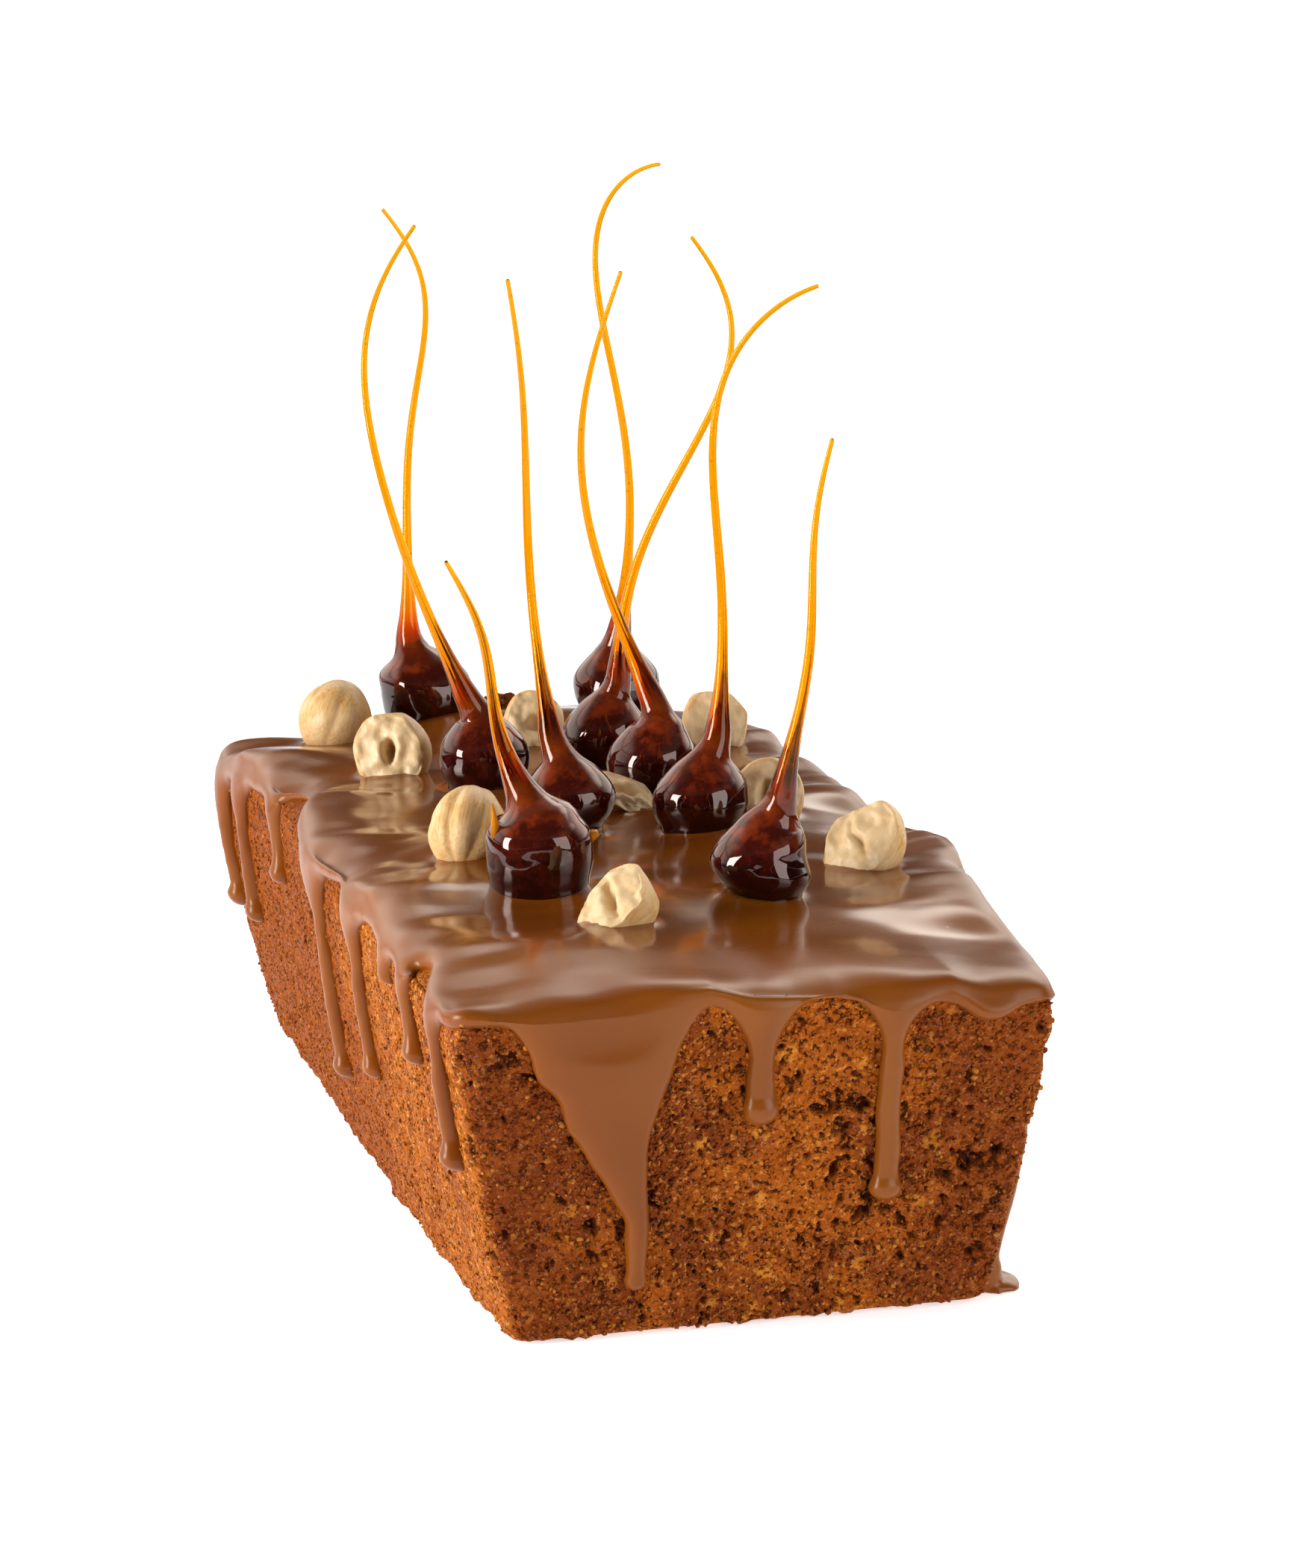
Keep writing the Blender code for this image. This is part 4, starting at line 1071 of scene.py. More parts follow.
def rim_sag(points):
    """How far the glaze is drawn down where it runs into the drips of the cut face."""
    beyond = np.maximum(edge_distances(points)[2], 0.0)
    total = np.zeros(len(points))
    for drip in DRIPS:
        if drip.side == "near":
            middle = (drip.place + (drip.after - drip.before) / 2.0) * MM
            width = (drip.after + drip.before + 4.0) * MM / 2.0
            total = np.maximum(total, np.exp(-((points[:, 0] - middle) / width) ** 2))
    total += RIM_WAVER * soft_noise(points * np.array((1.0, 0.0, 0.0)), *WAVER_FIELD)
    return SAG * total * np.exp(-beyond / SAG_RUN)


def topping_feet():
    """Place and foot radius of each topping, from the frame's solids."""
    feet = []
    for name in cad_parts:
        if name.startswith(("caramel_", "hazelnut_")):
            points = coords_of(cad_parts[name].data)
            low = points[points[:, 2] < points[:, 2].min() + FOOT_HEIGHT_READ]
            middle = (low.min(axis=0) + low.max(axis=0)) / 2.0
            radius = (low.max(axis=0) - low.min(axis=0))[:2].mean() / 2.0
            feet.append((middle[0], middle[1], radius))
    return feet


def menisci(points, settings):
    """The glaze climbs a little around each topping."""
    total = np.zeros(len(points))
    for x, y, radius in topping_feet():
        beyond = np.hypot(points[:, 0] - x, points[:, 1] - y) - MENISCUS_START * radius
        total = np.maximum(total, np.exp(-np.maximum(beyond, 0.0) / MENISCUS_RUN))
    return settings.meniscus * total


def melted(points, mesh, edges, settings):
    """The skin with its seams melted away, most of all over the rim, and plumped out again."""
    points = relaxed(points, edges, 0.5, settings.melt_rounds)
    rim = smoothstep(RIM_HEIGHT - 14 * MM, RIM_HEIGHT - 6 * MM, points[:, 2])
    points = relaxed(points, edges, 0.5 * rim[:, None], settings.rim_rounds)
    set_coords(mesh, points)
    free = smoothstep(0.3 * MM, 2.0 * MM, points[:, 2])
    plump = settings.plump * (1.0 + RIM_PLUMPNESS * rim) * free
    uneven = settings.drip_swell * soft_noise(points, *DRIP_SWELL_FIELD) * (1.0 - rim) * free
    outward = normals_of(mesh) * np.array((1.0, 1.0, LIFT_SHARE))
    points = points + outward * (plump + uneven)[:, None]
    aside = (points[:, 0] - FOLD_PLACE[0]) / FOLD_REACH[0]
    down = (points[:, 2] - FOLD_PLACE[1]) / FOLD_REACH[1]
    faces_near = smoothstep(0.2, 0.8, -outward[:, 1])
    above = down - FOLD_HOLLOW / FOLD_REACH[1]
    fold = np.exp(-down ** 2) - HOLLOW_DEPTH * np.exp(-above ** 2)
    points[:, 1] -= FOLD * faces_near * np.exp(-aside ** 2) * fold
    return points


def glazed(points, mesh, edges, settings):
    """The melted skin with its glaze evened out, sagged at the rim and waved.

    The glaze never comes closer to the crumb than its least cover.
    """
    upward = smoothstep(0.5, 0.95, normals_of(mesh)[:, 2])
    level = crumb_top(points[:, 0], points[:, 1]) + ICING_THICKNESS
    skin = upward * smoothstep(-2.0 * MM, -0.8 * MM, points[:, 2] - level)
    inside = edge_distances(points).min(axis=0)
    held = skin * smoothstep(6 * MM, 17 * MM, inside)
    points[:, 2] += held * (level - points[:, 2])
    over = smoothstep(-0.4, 0.3, normals_of(mesh)[:, 2])
    over = over * smoothstep(RIM_HEIGHT - 12 * MM, RIM_HEIGHT - 5 * MM, points[:, 2])
    points[:, 2] -= over * rim_sag(points)
    points[:, 2] += skin * (glaze_waves(points, settings) + menisci(points, settings))
    points = relaxed(points, edges, 0.4, 3)
    lowest = level - ICING_THICKNESS + LEAST_COVER
    lack = lowest - points[:, 2]
    points[:, 2] += held * (lack + np.hypot(lack, COVER_SOFTNESS)) / 2.0
    points[:, 2] = np.maximum(points[:, 2], 0.0)
    return points


def icing_mesh(settings):
    """Lid, drips and pool melted into one smooth skin."""
    bm = bmesh.new()
    add_lid(bm)
    for number, drip in enumerate(DRIPS):
        add_drip(bm, drip, number, settings)
    add_pool(bm)
    bmesh.ops.triangulate(bm, faces=bm.faces[:])
    whole = mesh_from(bm, "icing")
    mesh = after_modifier(whole, "REMESH", mode="VOXEL", voxel_size=settings.voxel)
    edges = edges_of(mesh)
    points = melted(coords_of(mesh), mesh, edges, settings)
    set_coords(mesh, points)
    set_coords(mesh, glazed(points, mesh, edges, settings))
    mesh = thinned(mesh)
    add_attribute(mesh, "pooled", smoothstep(0.35, 0.9, normals_of(mesh)[:, 2]))
    left, right, near, far = edge_distances(coords_of(mesh))
    calm = smoothstep(0.0, 14 * MM, np.minimum(np.minimum(left, right), far))
    add_attribute(mesh, "calm", calm * smoothstep(-4 * MM, 30 * MM, near))
    return mesh


def icing_material(settings):
    """Set caramel icing: soft milky brown, glossiest on the calm top."""
    look = Look(bpy.data.materials.new("caramel_icing"))
    broad = look.ranged(look.noise(ICING_PATCH_SCALE, 2.0), 0.35, 0.65)
    colour = look.mix(broad, settings.icing_deep, settings.icing)
    pooled, calm = look.attribute("pooled"), look.attribute("calm")
    rough = settings.gloss + RIM_ROUGHNESS
    look.shade(Base_Color=colour, Roughness=look.ranged(calm, 0.0, 1.0, rough, settings.gloss))
    look.shade(Specular_IOR_Level=look.ranged(pooled, 0.0, 1.0, 0.32, 0.55))
    look.shade(Specular_Tint=WARM_GLOSS)
    look.shade(Coat_Weight=look.ranged(calm, 0.3, 1.0, 0.0, 0.34), Coat_Roughness=0.10)
    look.shade(Subsurface_Weight=0.12, Subsurface_Scale=1.5 * MM)
    look.shade(Normal=look.bump(look.noise(ICING_DIMPLE_SCALE, 2.0), 0.05 * MM, 0.3))
    return look.owner


# ------------------------------------------------------------------------- caramel hazelnuts

TOPPING_GAP = 0.4 * MM
STRAND_PLANE_TURN = math.radians(-13.5)
NECK_HEIGHT = 12 * MM

# A dipped hazelnut, in millimetres: its place, its bulb's radius and height and its tip's height
# over the icing; then its strand's bends aside, how far round its tip turns (in quarters), and
# its bend in depth; then its foot in radii, its bulb's shift aside and how square the bulb is.
Caramel = namedtuple("Caramel", "x y radius bulb tip start lean bow sway curl turn depth "
                     "foot shift square", defaults=(0.84, 0.0, 0.0))
CARAMELS = (
    Caramel(-7.0, 110.0, 9.2, 13.0, 100.5, -3.5, -2.0, 4.5, -3.0, 1.0, 0.6, 4.0, 0.92, 0.0, 0.4),
    Caramel(-13.0, 27.6, 8.3, 13.0, 102.0, -1.0, -9.0, -13.0, 1.5, -0.5, 0.6, -5.0),
    Caramel(-21.4, -57.0, 9.0, 14.5, 56.0, -0.7, -13.5, 0.0, -1.5, 0.0, 0.0, 3.0, 0.94, 0.0, 0.8),
    Caramel(-6.4, -15.0, 8.2, 12.5, 97.3, -2.5, -6.0, -1.0, -1.0, 0.0, 0.5, 6.0, 0.78, -0.8),
    Caramel(31.3, 108.0, 8.6, 13.5, 108.1, 0.0, 10.5, -6.0, 4.5, 0.5, 0.98, -6.0),
    Caramel(12.5, 40.0, 7.8, 13.0, 97.2, 3.0, 15.5, 7.5, -5.5, 0.0, 0.6, -3.0),
    Caramel(14.2, 9.4, 8.1, 14.0, 94.9, 2.5, -6.0, -10.5, 0.5, 0.0, 0.0, 5.0),
    Caramel(15.3, -22.3, 8.5, 13.0, 95.1, 3.0, 19.0, -8.5, 2.5, 0.5, 0.9, 2.0),
    Caramel(12.1, -74.4, 8.2, 15.0, 76.0, 3.3, 10.3, 0.4, 0.7, -0.5, 0.0, -4.0, 0.70, 1.7),
)

# height in bulbs and size in radii, of a round bulb and of a square one
BULB_PROFILE = ((0.38, 1.0), (0.58, 0.93), (0.78, 0.69), (1.0, 0.38))
SQUARE_PROFILE = ((0.42, 1.01), (0.66, 0.99), (0.82, 0.82), (1.0, 0.42))

# height over the bulb and radius, in millimetres
STRAND_PROFILE = ((4.5, 2.2), (9, 1.55), (16, 1.05), (26, 0.84))

STRAND_TIP_RADIUS = 0.38 * MM

# A chip of thin caramel: its sides, its radii at both ends, its length, its lean in radians, and
# its place on a bulb in the bulb's radii and heights, with how clear it is.
Chip = namedtuple("Chip", "segments root tip length lean aside height clear")
SPIKED = 3                       # the dipped hazelnut that carries the spike and the flake
SPIKE = Chip(14, 1.0 * MM, 0.18 * MM, 5.8 * MM, -0.10, -0.90, 0.84, 1.30)
SHARD = Chip(5, 1.6 * MM, 0.6 * MM, 2.0 * MM, 1.2, 0.98, 0.58, 1.30)
SINK = 0.7 * MM                  # how far a topping's foot reaches into the glaze
FINE_LUMPS = 0.4
CARAMEL_IOR = 1.47
RED_GLOSS = (1.0, 0.80, 0.74)
GOLDEN_GLOSS = (1.0, 0.62, 0.12)
CLOUD_SCALE = 300.0              # features to the metre
BUBBLE_SCALE = 1900.0
BUBBLE_STRETCH = (1.0, 1.0, 0.30)
CHIP_CLEARNESS = (1.05, 1.25)    # over this the caramel is a thin chip
CARAMEL_SIDES = 40
BULB_RINGS = 30
NECK_RINGS = 18
STRAND_RINGS = 56
TIP_RINGS = 5


def strand_point(caramel, height, middle):
    """Middle of the caramel at a height above the icing."""
    tip = caramel.tip * MM
    rise = (height - NECK_HEIGHT) / (tip - NECK_HEIGHT)
    turn = max(caramel.turn, 0.01) * math.pi / 2.0
    t = math.asin(min(1.0, max(0.0, rise)) * math.sin(turn)) / turn
    start = caramel.start * smoothstep(0.4, 1.4, height / NECK_HEIGHT)
    aside = start + caramel.lean * t + caramel.bow * math.sin(math.pi * t)
    aside += caramel.shift * (1.0 - float(smoothstep(0.0, 0.5 * caramel.bulb * MM, height)))
    aside += caramel.sway * math.sin(2 * math.pi * t) + caramel.curl * math.sin(3 * math.pi * t)
    depth = caramel.depth * math.sin(math.pi * t * 1.3)
    across = Vector((math.cos(STRAND_PLANE_TURN), math.sin(STRAND_PLANE_TURN), 0))
    back = Vector((-across.y, across.x, 0))
    return middle + across * (aside * MM) + back * (depth * MM) + UP * height


def smooth_profile(stops, value):
    """A smooth curve through (place, size) stops."""
    places = [place for place, size in stops]
    last = len(stops) - 1
    index = min(last - 1, max(0, int(np.searchsorted(places, value, side="right")) - 1))
    (start, start_size), (end, end_size) = stops[index], stops[index + 1]
    before, before_size = stops[max(index - 1, 0)]
    after, after_size = stops[min(index + 2, last)]
    span = end - start
    t = min(1.0, max(0.0, (value - start) / span))
    start_rise = (end_size - before_size) / (end - before) * span
    end_rise = (after_size - start_size) / (after - start) * span
    return ((2 * t ** 3 - 3 * t ** 2 + 1) * start_size + (t ** 3 - 2 * t ** 2 + t) * start_rise
            + (3 * t ** 2 - 2 * t ** 3) * end_size + (t ** 3 - t ** 2) * end_rise)


def caramel_stops(caramel):
    """Heights above the icing and radii, from the foot to the start of the thin strand."""
    bulb, radius = caramel.bulb * MM, caramel.radius * MM
    stops = [(0.0, caramel.foot * radius), (0.18 * bulb, (0.80 + 0.20 * caramel.foot) * radius)]
    for (share, size), (square_share, square_size) in zip(BULB_PROFILE, SQUARE_PROFILE):
        share += (square_share - share) * caramel.square
        size += (square_size - size) * caramel.square
        stops.append((share * bulb, size * radius))
    return stops + [(bulb + above * MM, size * MM) for above, size in STRAND_PROFILE]


def caramel_heights(caramel, top):
    """Heights of the rings: close together on the bulb, and even along the strand's length."""
    bulb = caramel.bulb * MM
    heights = [bulb * step / BULB_RINGS for step in range(BULB_RINGS)]
    heights += [bulb + (top - bulb) * step / NECK_RINGS for step in range(NECK_RINGS)]
    turn = max(caramel.turn, 0.01) * math.pi / 2.0
    for step in range(STRAND_RINGS + 1):
        share = math.sin(turn * step / STRAND_RINGS) / math.sin(turn)
        heights.append(top + (caramel.tip * MM - top) * share)
    return heights


def caramel_radii(stops, heights):
    """Radii of the rings: the bulb's and the neck's profile, then a thin even taper."""
    top, top_radius = stops[-1]
    radii = []
    for index, height in enumerate(heights):
        if height <= top:
            radii.append(smooth_profile(stops, height))
        else:
            share = (index - BULB_RINGS - NECK_RINGS) / STRAND_RINGS
            radii.append(top_radius + (STRAND_TIP_RADIUS - top_radius) * share)
    return radii


def upright_turn(heading):
    """The turn that brings the upward axis to a heading."""
    return UP.rotation_difference(heading).to_matrix()


def caramel_ring(path, index, radius, share, level, number, lumpiness):
    """One slightly lumpy ring round the caramel's path, at a share of the bulb's height."""
    before, after = path[max(index - 1, 0)], path[min(index + 1, len(path) - 1)]
    upright = 1.0 - smoothstep(0.5, 1.3, share)
    heading = (after - before).normalized().lerp(UP, float(upright)).normalized()
    turn = upright_turn(heading)
    lumpy = lumpiness * (1.0 - smoothstep(0.9, 1.6, share))
    ring = []
    for side in range(CARAMEL_SIDES):
        angle = 2.0 * math.pi * side / CARAMEL_SIDES
        arm = Vector((math.cos(angle), math.sin(angle), 0.0))
        spot = Vector((arm.x, arm.y, level * 0.9)) * 1.1
        spot.x += number * 5.3
        lump = noise.noise(spot) + FINE_LUMPS * noise.noise(spot * 2.7)
        ring.append(path[index] + turn @ (arm * radius * (1.0 + lumpy * lump)))
    return ring


def rounded_tip(end, heading, radius):
    """Rings that close the strand's tip with a small dome."""
    turn = upright_turn(heading)
    sides = np.linspace(0.0, 2.0 * math.pi, CARAMEL_SIDES, endpoint=False)
    rings = []
    for step in range(1, TIP_RINGS):
        angle = math.pi / 2.0 * step / TIP_RINGS
        centre = end + heading * (radius * math.sin(angle))
        reach = radius * math.cos(angle)
        rings.append([centre + turn @ Vector((reach * math.cos(side), reach * math.sin(side), 0.0))
                      for side in sides])
    return rings


def caramel_piece_mesh(number, caramel, settings):
    """A dipped hazelnut with its drawn strand, and how clear the caramel is at each point, with painted
    shade and glow up the bulb.
    """
    bulb = caramel.bulb * MM
    middle = Vector((caramel.x * MM, caramel.y * MM, 0.0))
    foot = crumb_top(middle.x, middle.y) + ICING_THICKNESS
    middle.z = foot + TOPPING_GAP
    stops = caramel_stops(caramel)
    heights = caramel_heights(caramel, stops[-1][0])
    radii = caramel_radii(stops, heights)
    path = [strand_point(caramel, height, middle) for height in heights]
    rings = []
    for index, (height, radius) in enumerate(zip(heights, radii)):
        share, level = height / bulb, height / radii[0]
        rings.append(caramel_ring(path, index, radius, share, level, number, settings.lump))
    rings += rounded_tip(path[-1], (path[-1] - path[-2]).normalized(), radii[-1])
    rings.insert(0, [Vector((point.x, point.y, foot - SINK)) for point in rings[0]])
    bm = bmesh.new()
    loft(bm, rings)
    # This layer holds how clear the caramel is, with painted shade at the bulb's foot and painted glow
    # over its shoulder.
    clearness_and_glow_layer = bm.verts.layers.float.new("amber")
    for vert in bm.verts:
        vert[clearness_and_glow_layer] = clearness_and_painted_glow_at(vert.co.z - foot, bulb)
    if number == SPIKED:
        add_chip(bm, caramel, middle, SPIKE, clearness_and_glow_layer)
        add_chip(bm, caramel, middle, SHARD, clearness_and_glow_layer)
    return mesh_from(bm, "caramel_%d" % number)


def clearness_and_painted_glow_at(height, bulb):
    """How clear and golden the caramel looks: 0 at the bulb's foot, 1 along the thin strand. Up the
    bulb it is partly painted shade at the foot and painted glow over the shoulder.
    """
    # Painted shade and glow: the bulb darkens towards its foot and reddens towards its shoulder.
    low = 0.30 * smoothstep(0.25 * bulb, 0.95 * bulb, height)
    neck = 0.40 * smoothstep(0.8 * bulb, bulb + 9 * MM, height)
    strand = 0.30 * smoothstep(bulb + 4 * MM, bulb + 28 * MM, height)
    return float(low + neck + strand)


def add_chip(bm, caramel, middle, chip, clearness_and_glow_layer):
    """A spike or flake of thin clear caramel that stands on a bulb's shoulder."""
    verts = bmesh.ops.create_cone(bm, cap_ends=True, segments=chip.segments, depth=chip.length,
                                  radius1=chip.root, radius2=chip.tip)["verts"]
    turn = Matrix.Rotation(chip.lean, 3, "Y")
    bmesh.ops.rotate(bm, verts=verts, cent=(0, 0, 0), matrix=turn)
    radius, bulb = caramel.radius * MM, caramel.bulb * MM
    place = Vector((chip.aside * radius, -0.25 * radius, chip.height * bulb))
    bmesh.ops.translate(bm, verts=verts, vec=middle + place)
    for vert in verts:
        vert[clearness_and_glow_layer] = chip.clear


def caramel_colour(look, settings, amber):
    """From near black in the bulb's foot to clear gold in the strand, cloudy and bubbly; the bulb's
    dark foot and red shoulder are partly painted shade and painted glow.
    """
    cloudy = look.ranged(look.noise(CLOUD_SCALE, 3.0, 0.6), 0.36, 0.68, -0.07, 0.09)
    bulb = look.ranged(amber, 0.25, 0.60, 1.0, 0.0)
    place = look.math("ADD", amber, look.math("MULTIPLY", cloudy, bulb))
    # Painted shade and glow: on a bulb the ramp darkens the foot and reddens the shoulder.
    colour = look.ramp(place, (0.0, settings.caramel_thick), (0.22, settings.caramel_deep),
                       (0.38, settings.caramel_red), (0.56, settings.caramel),
                       (0.80, settings.caramel_thin), (1.0, settings.caramel_thin))
    drawn = look.stretched(BUBBLE_STRETCH)
    bubbles = look.ranged(look.cells(BUBBLE_SCALE, place=drawn), 0.10, 0.22, 1.0, 0.0)
    bubbles = look.math("MULTIPLY", bubbles, look.ranged(amber, 0.3, 0.7, 0.1, 0.45))
    colour = look.mix(bubbles, colour, [0.6 * value for value in settings.caramel])
    return look.mix(look.ranged(amber, *CHIP_CLEARNESS), colour, settings.caramel_chip)


def caramel_material(settings):
    """Clear hard caramel: golden where it is thin and near black where it is thick, with painted shade
    at a bulb's foot and painted glow over its shoulder.
    """
    look = Look(bpy.data.materials.new("clear_caramel"))
    amber = look.attribute("amber")
    colour = caramel_colour(look, settings, amber)
    look.shade(Base_Color=colour, Roughness=0.04, IOR=CARAMEL_IOR)
    look.shade(Specular_IOR_Level=look.ranged(amber, 0.25, 0.75, 0.72, 0.10))
    look.shade(Specular_Tint=look.mix(look.ranged(amber, 0.4, 0.9), RED_GLOSS, GOLDEN_GLOSS))
    solid = look.ranged(amber, *CHIP_CLEARNESS, 1.0, 0.25)
    clear = look.math("MULTIPLY", look.ranged(amber, 0.10, 0.65), solid)
    look.shade(Transmission_Weight=clear)
    look.shade(Normal=look.bump(look.noise(CLOUD_SCALE, 2.0), 0.10 * MM, 0.25))
    depth = look.add("ShaderNodeVolumeAbsorption", Color=(*settings.caramel_depth, 1.0),
                     Density=settings.density)
    output = look.tree.nodes["Material Output"]
    look.set(output.inputs["Volume"], depth.outputs["Volume"])
    return look.owner


# -------------------------------------------------------------------------------- hazelnuts

NUT_FOOT = 0.45

# A plain hazelnut: its place and radius in millimetres, its length in radii and the turn and rise
# of its axis; where it is broken off, in radii (None when whole), and which way that face looks;
# its middle over the icing in radii; its face's cleft, and how deep its ribs are.
Nut = namedtuple("Nut", "x y radius length turn rise cut cut_turn cut_rise foot "
                 "cleft_turn cleft_length cleft_width cleft_depth rib")
NUTS = (
    Nut(-27.5, 100.6, 7.3, 1.02, 40, 55, None, 0, 0, NUT_FOOT, 0, 0, 0, 0, 0.045),
    Nut(-26.7, 46.0, 7.4, 1.05, 105, 60, 0.30, -110, 20, NUT_FOOT, 85, 0.38, 0.13, 0.45, 0.05),
    Nut(-28.9, -34.1, 7.2, 1.05, 60, 50, None, 0, 0, 0.68, 0, 0, 0, 0, 0.085),
    Nut(-14.9, -85.6, 6.8, 1.12, 35, 25, 0.25, -150, 50, NUT_FOOT, 40, 0.85, 0.12, 0.22, 0.04),
    Nut(35.2, -58.1, 7.2, 1.12, 30, 40, 0.25, -140, 40, NUT_FOOT, 45, 0.80, 0.08, 0.12, 0.03),
    Nut(29.5, -16.5, 6.6, 1.05, 80, 60, 0.30, -105, 15, NUT_FOOT, 80, 0.50, 0.24, 0.6, 0.05),
    Nut(37.7, 53.0, 6.9, 1.05, 100, 60, 0.35, -95, 25, NUT_FOOT, 70, 0.35, 0.22, 0.15, 0.05),
    Nut(5.8, -3.5, 5.4, 1.10, 160, 20, 0.10, -60, 55, NUT_FOOT, 20, 0.6, 0.2, 0.25, 0.10),
    Nut(4.7, 62.8, 6.5, 1.05, 120, 55, 0.35, -100, 30, NUT_FOOT, 80, 0.32, 0.28, 0.25, 0.06),
)
NUT_RIBS = 7
FACETS = 6                       # flat chips round a broken nut
FACET_DISTANCE = (0.74, 0.95)
FACET_FLATNESS = 0.75
FACET_SEED = 40
BREAK_FLATNESS = 0.92            # how much of what stands over the broken face is taken off
BREAK_RIM = 0.12                 # width of its rounded rim, in radii
NUT_GRAIN_SCALE = 16.0           # features to the length of a nut's grain coordinates
NUT_PATCH_SCALE = 240.0          # features to the metre
INSIDE_SCALE = 420.0
SKIN_SCALE = 900.0
NUT_SIDES = 84
NUT_LEVELS = 56


def direction(turn, rise):
    turn, rise = math.radians(turn), math.radians(rise)
    return Vector((math.cos(turn) * math.cos(rise), math.sin(turn) * math.cos(rise), math.sin(rise)))


def nut_surface(nut, number, unit):
    """A point of the whole nut, in radii along its own axis, from a point of the unit ball."""
    around = math.atan2(unit.y, unit.x)
    slim = 1.0 - abs(unit.z) ** 3
    wobble = noise.noise(Vector((math.cos(around), math.sin(around), number * 2.3)) * 1.3)
    ribs = abs(math.cos(0.5 * NUT_RIBS * around + 0.8 * wobble)) ** 0.6
    seam = math.exp(-((math.remainder(around - number, math.pi)) / 0.16) ** 2)
    out = 1.0 - nut.rib * (1.0 - ribs) * 2.2 * slim - 0.6 * nut.rib * seam * slim
    out += 0.035 * noise.noise(unit * 1.8 + Vector((number * 4.1, 0, 0)))
    out += 0.008 * noise.noise(unit * 9.0 + Vector((number * 4.1, 0, 0)))
    point = Vector((unit.x * out, unit.y * out, unit.z * nut.length * (0.5 + 0.5 * out)))
    point.z += 0.08 * float(smoothstep(0.7, 1.0, unit.z))
    return point


def cut_relief(nut, number, across, up):
    """Depth of the broken face at a place on it: its cleft, its dish and its facets."""
    turn = math.radians(nut.cleft_turn)
    along = across * math.cos(turn) + up * math.sin(turn)
    aside = -across * math.sin(turn) + up * math.cos(turn)
    aside += 0.12 * noise.noise(Vector((along * 2.0, number, 0.0)))
    leaf = max(0.0, 1.0 - (along / nut.cleft_length) ** 2)
    width = nut.cleft_width * leaf + 1e-6
    cleft = leaf * math.exp(-(aside / width) ** 4)
    banks = leaf * math.exp(-((abs(aside) - 2.0 * nut.cleft_width) / 0.14) ** 2)
    rough = noise.noise(Vector((across, up, number * 0.7)) * 2.6)
    rough += 0.5 * noise.noise(Vector((across, up, number * 0.9)) * 6.0)
    return 1.3 * nut.cleft_depth * cleft - 0.09 * banks + 0.11 * rough


def facet_planes(number, face):
    """Directions and distances of the flat chips round a broken nut."""
    generator = np.random.default_rng(FACET_SEED + number)
    planes = []
    for step in range(FACETS):
        chosen = Vector(generator.normal(size=3)).normalized()
        chosen = (chosen - face * (0.6 * chosen.dot(face))).normalized()
        planes.append((chosen, generator.uniform(*FACET_DISTANCE)))
    return planes


def nut_piece_mesh(number, nut):
    """A blanched hazelnut, whole or broken, with its grain and its broken face as attributes."""
    radius = nut.radius * MM
    bm = bmesh.new()
    bmesh.ops.create_uvsphere(bm, u_segments=NUT_SIDES, v_segments=NUT_LEVELS, radius=1.0)
    grain = bm.verts.layers.float_vector.new("grain")
    broken = bm.verts.layers.float.new("broken")
    tilt = direction(nut.turn, nut.rise).to_track_quat("Z", "Y").to_matrix()
    middle = Vector((nut.x * MM, nut.y * MM, 0.0))
    foot = crumb_top(middle.x, middle.y) + ICING_THICKNESS
    middle.z = foot + TOPPING_GAP + nut.foot * radius
    face = direction(nut.cut_turn, nut.cut_rise)
    across = face.cross(UP).normalized()
    up = across.cross(face)
    planes = [] if nut.cut is None else facet_planes(number, face)
    for vert in bm.verts:
        unit = vert.co.copy()
        vert[grain] = Vector((unit.x, unit.y, 0.12 * unit.z)) + Vector((number, 0, 0))
        point = tilt @ nut_surface(nut, number, unit)
        for chosen, distance in planes:
            point -= chosen * (FACET_FLATNESS * max(0.0, point.dot(chosen) - distance))
        if nut.cut is not None:
            beyond = point.dot(face) - nut.cut
            if beyond > 0.0:
                point -= face * (beyond * BREAK_FLATNESS)
                rim = min(1.0, beyond / BREAK_RIM)
                point -= face * (rim * cut_relief(nut, number, point.dot(across), point.dot(up)))
                vert[broken] = rim
        vert.co = middle + point * radius
        vert.co.z = max(vert.co.z, foot - SINK)
    bmesh.ops.smooth_vert(bm, verts=bm.verts[:], factor=0.4,
                          use_axis_x=True, use_axis_y=True, use_axis_z=True)
    return mesh_from(bm, "hazelnut_%d" % number)


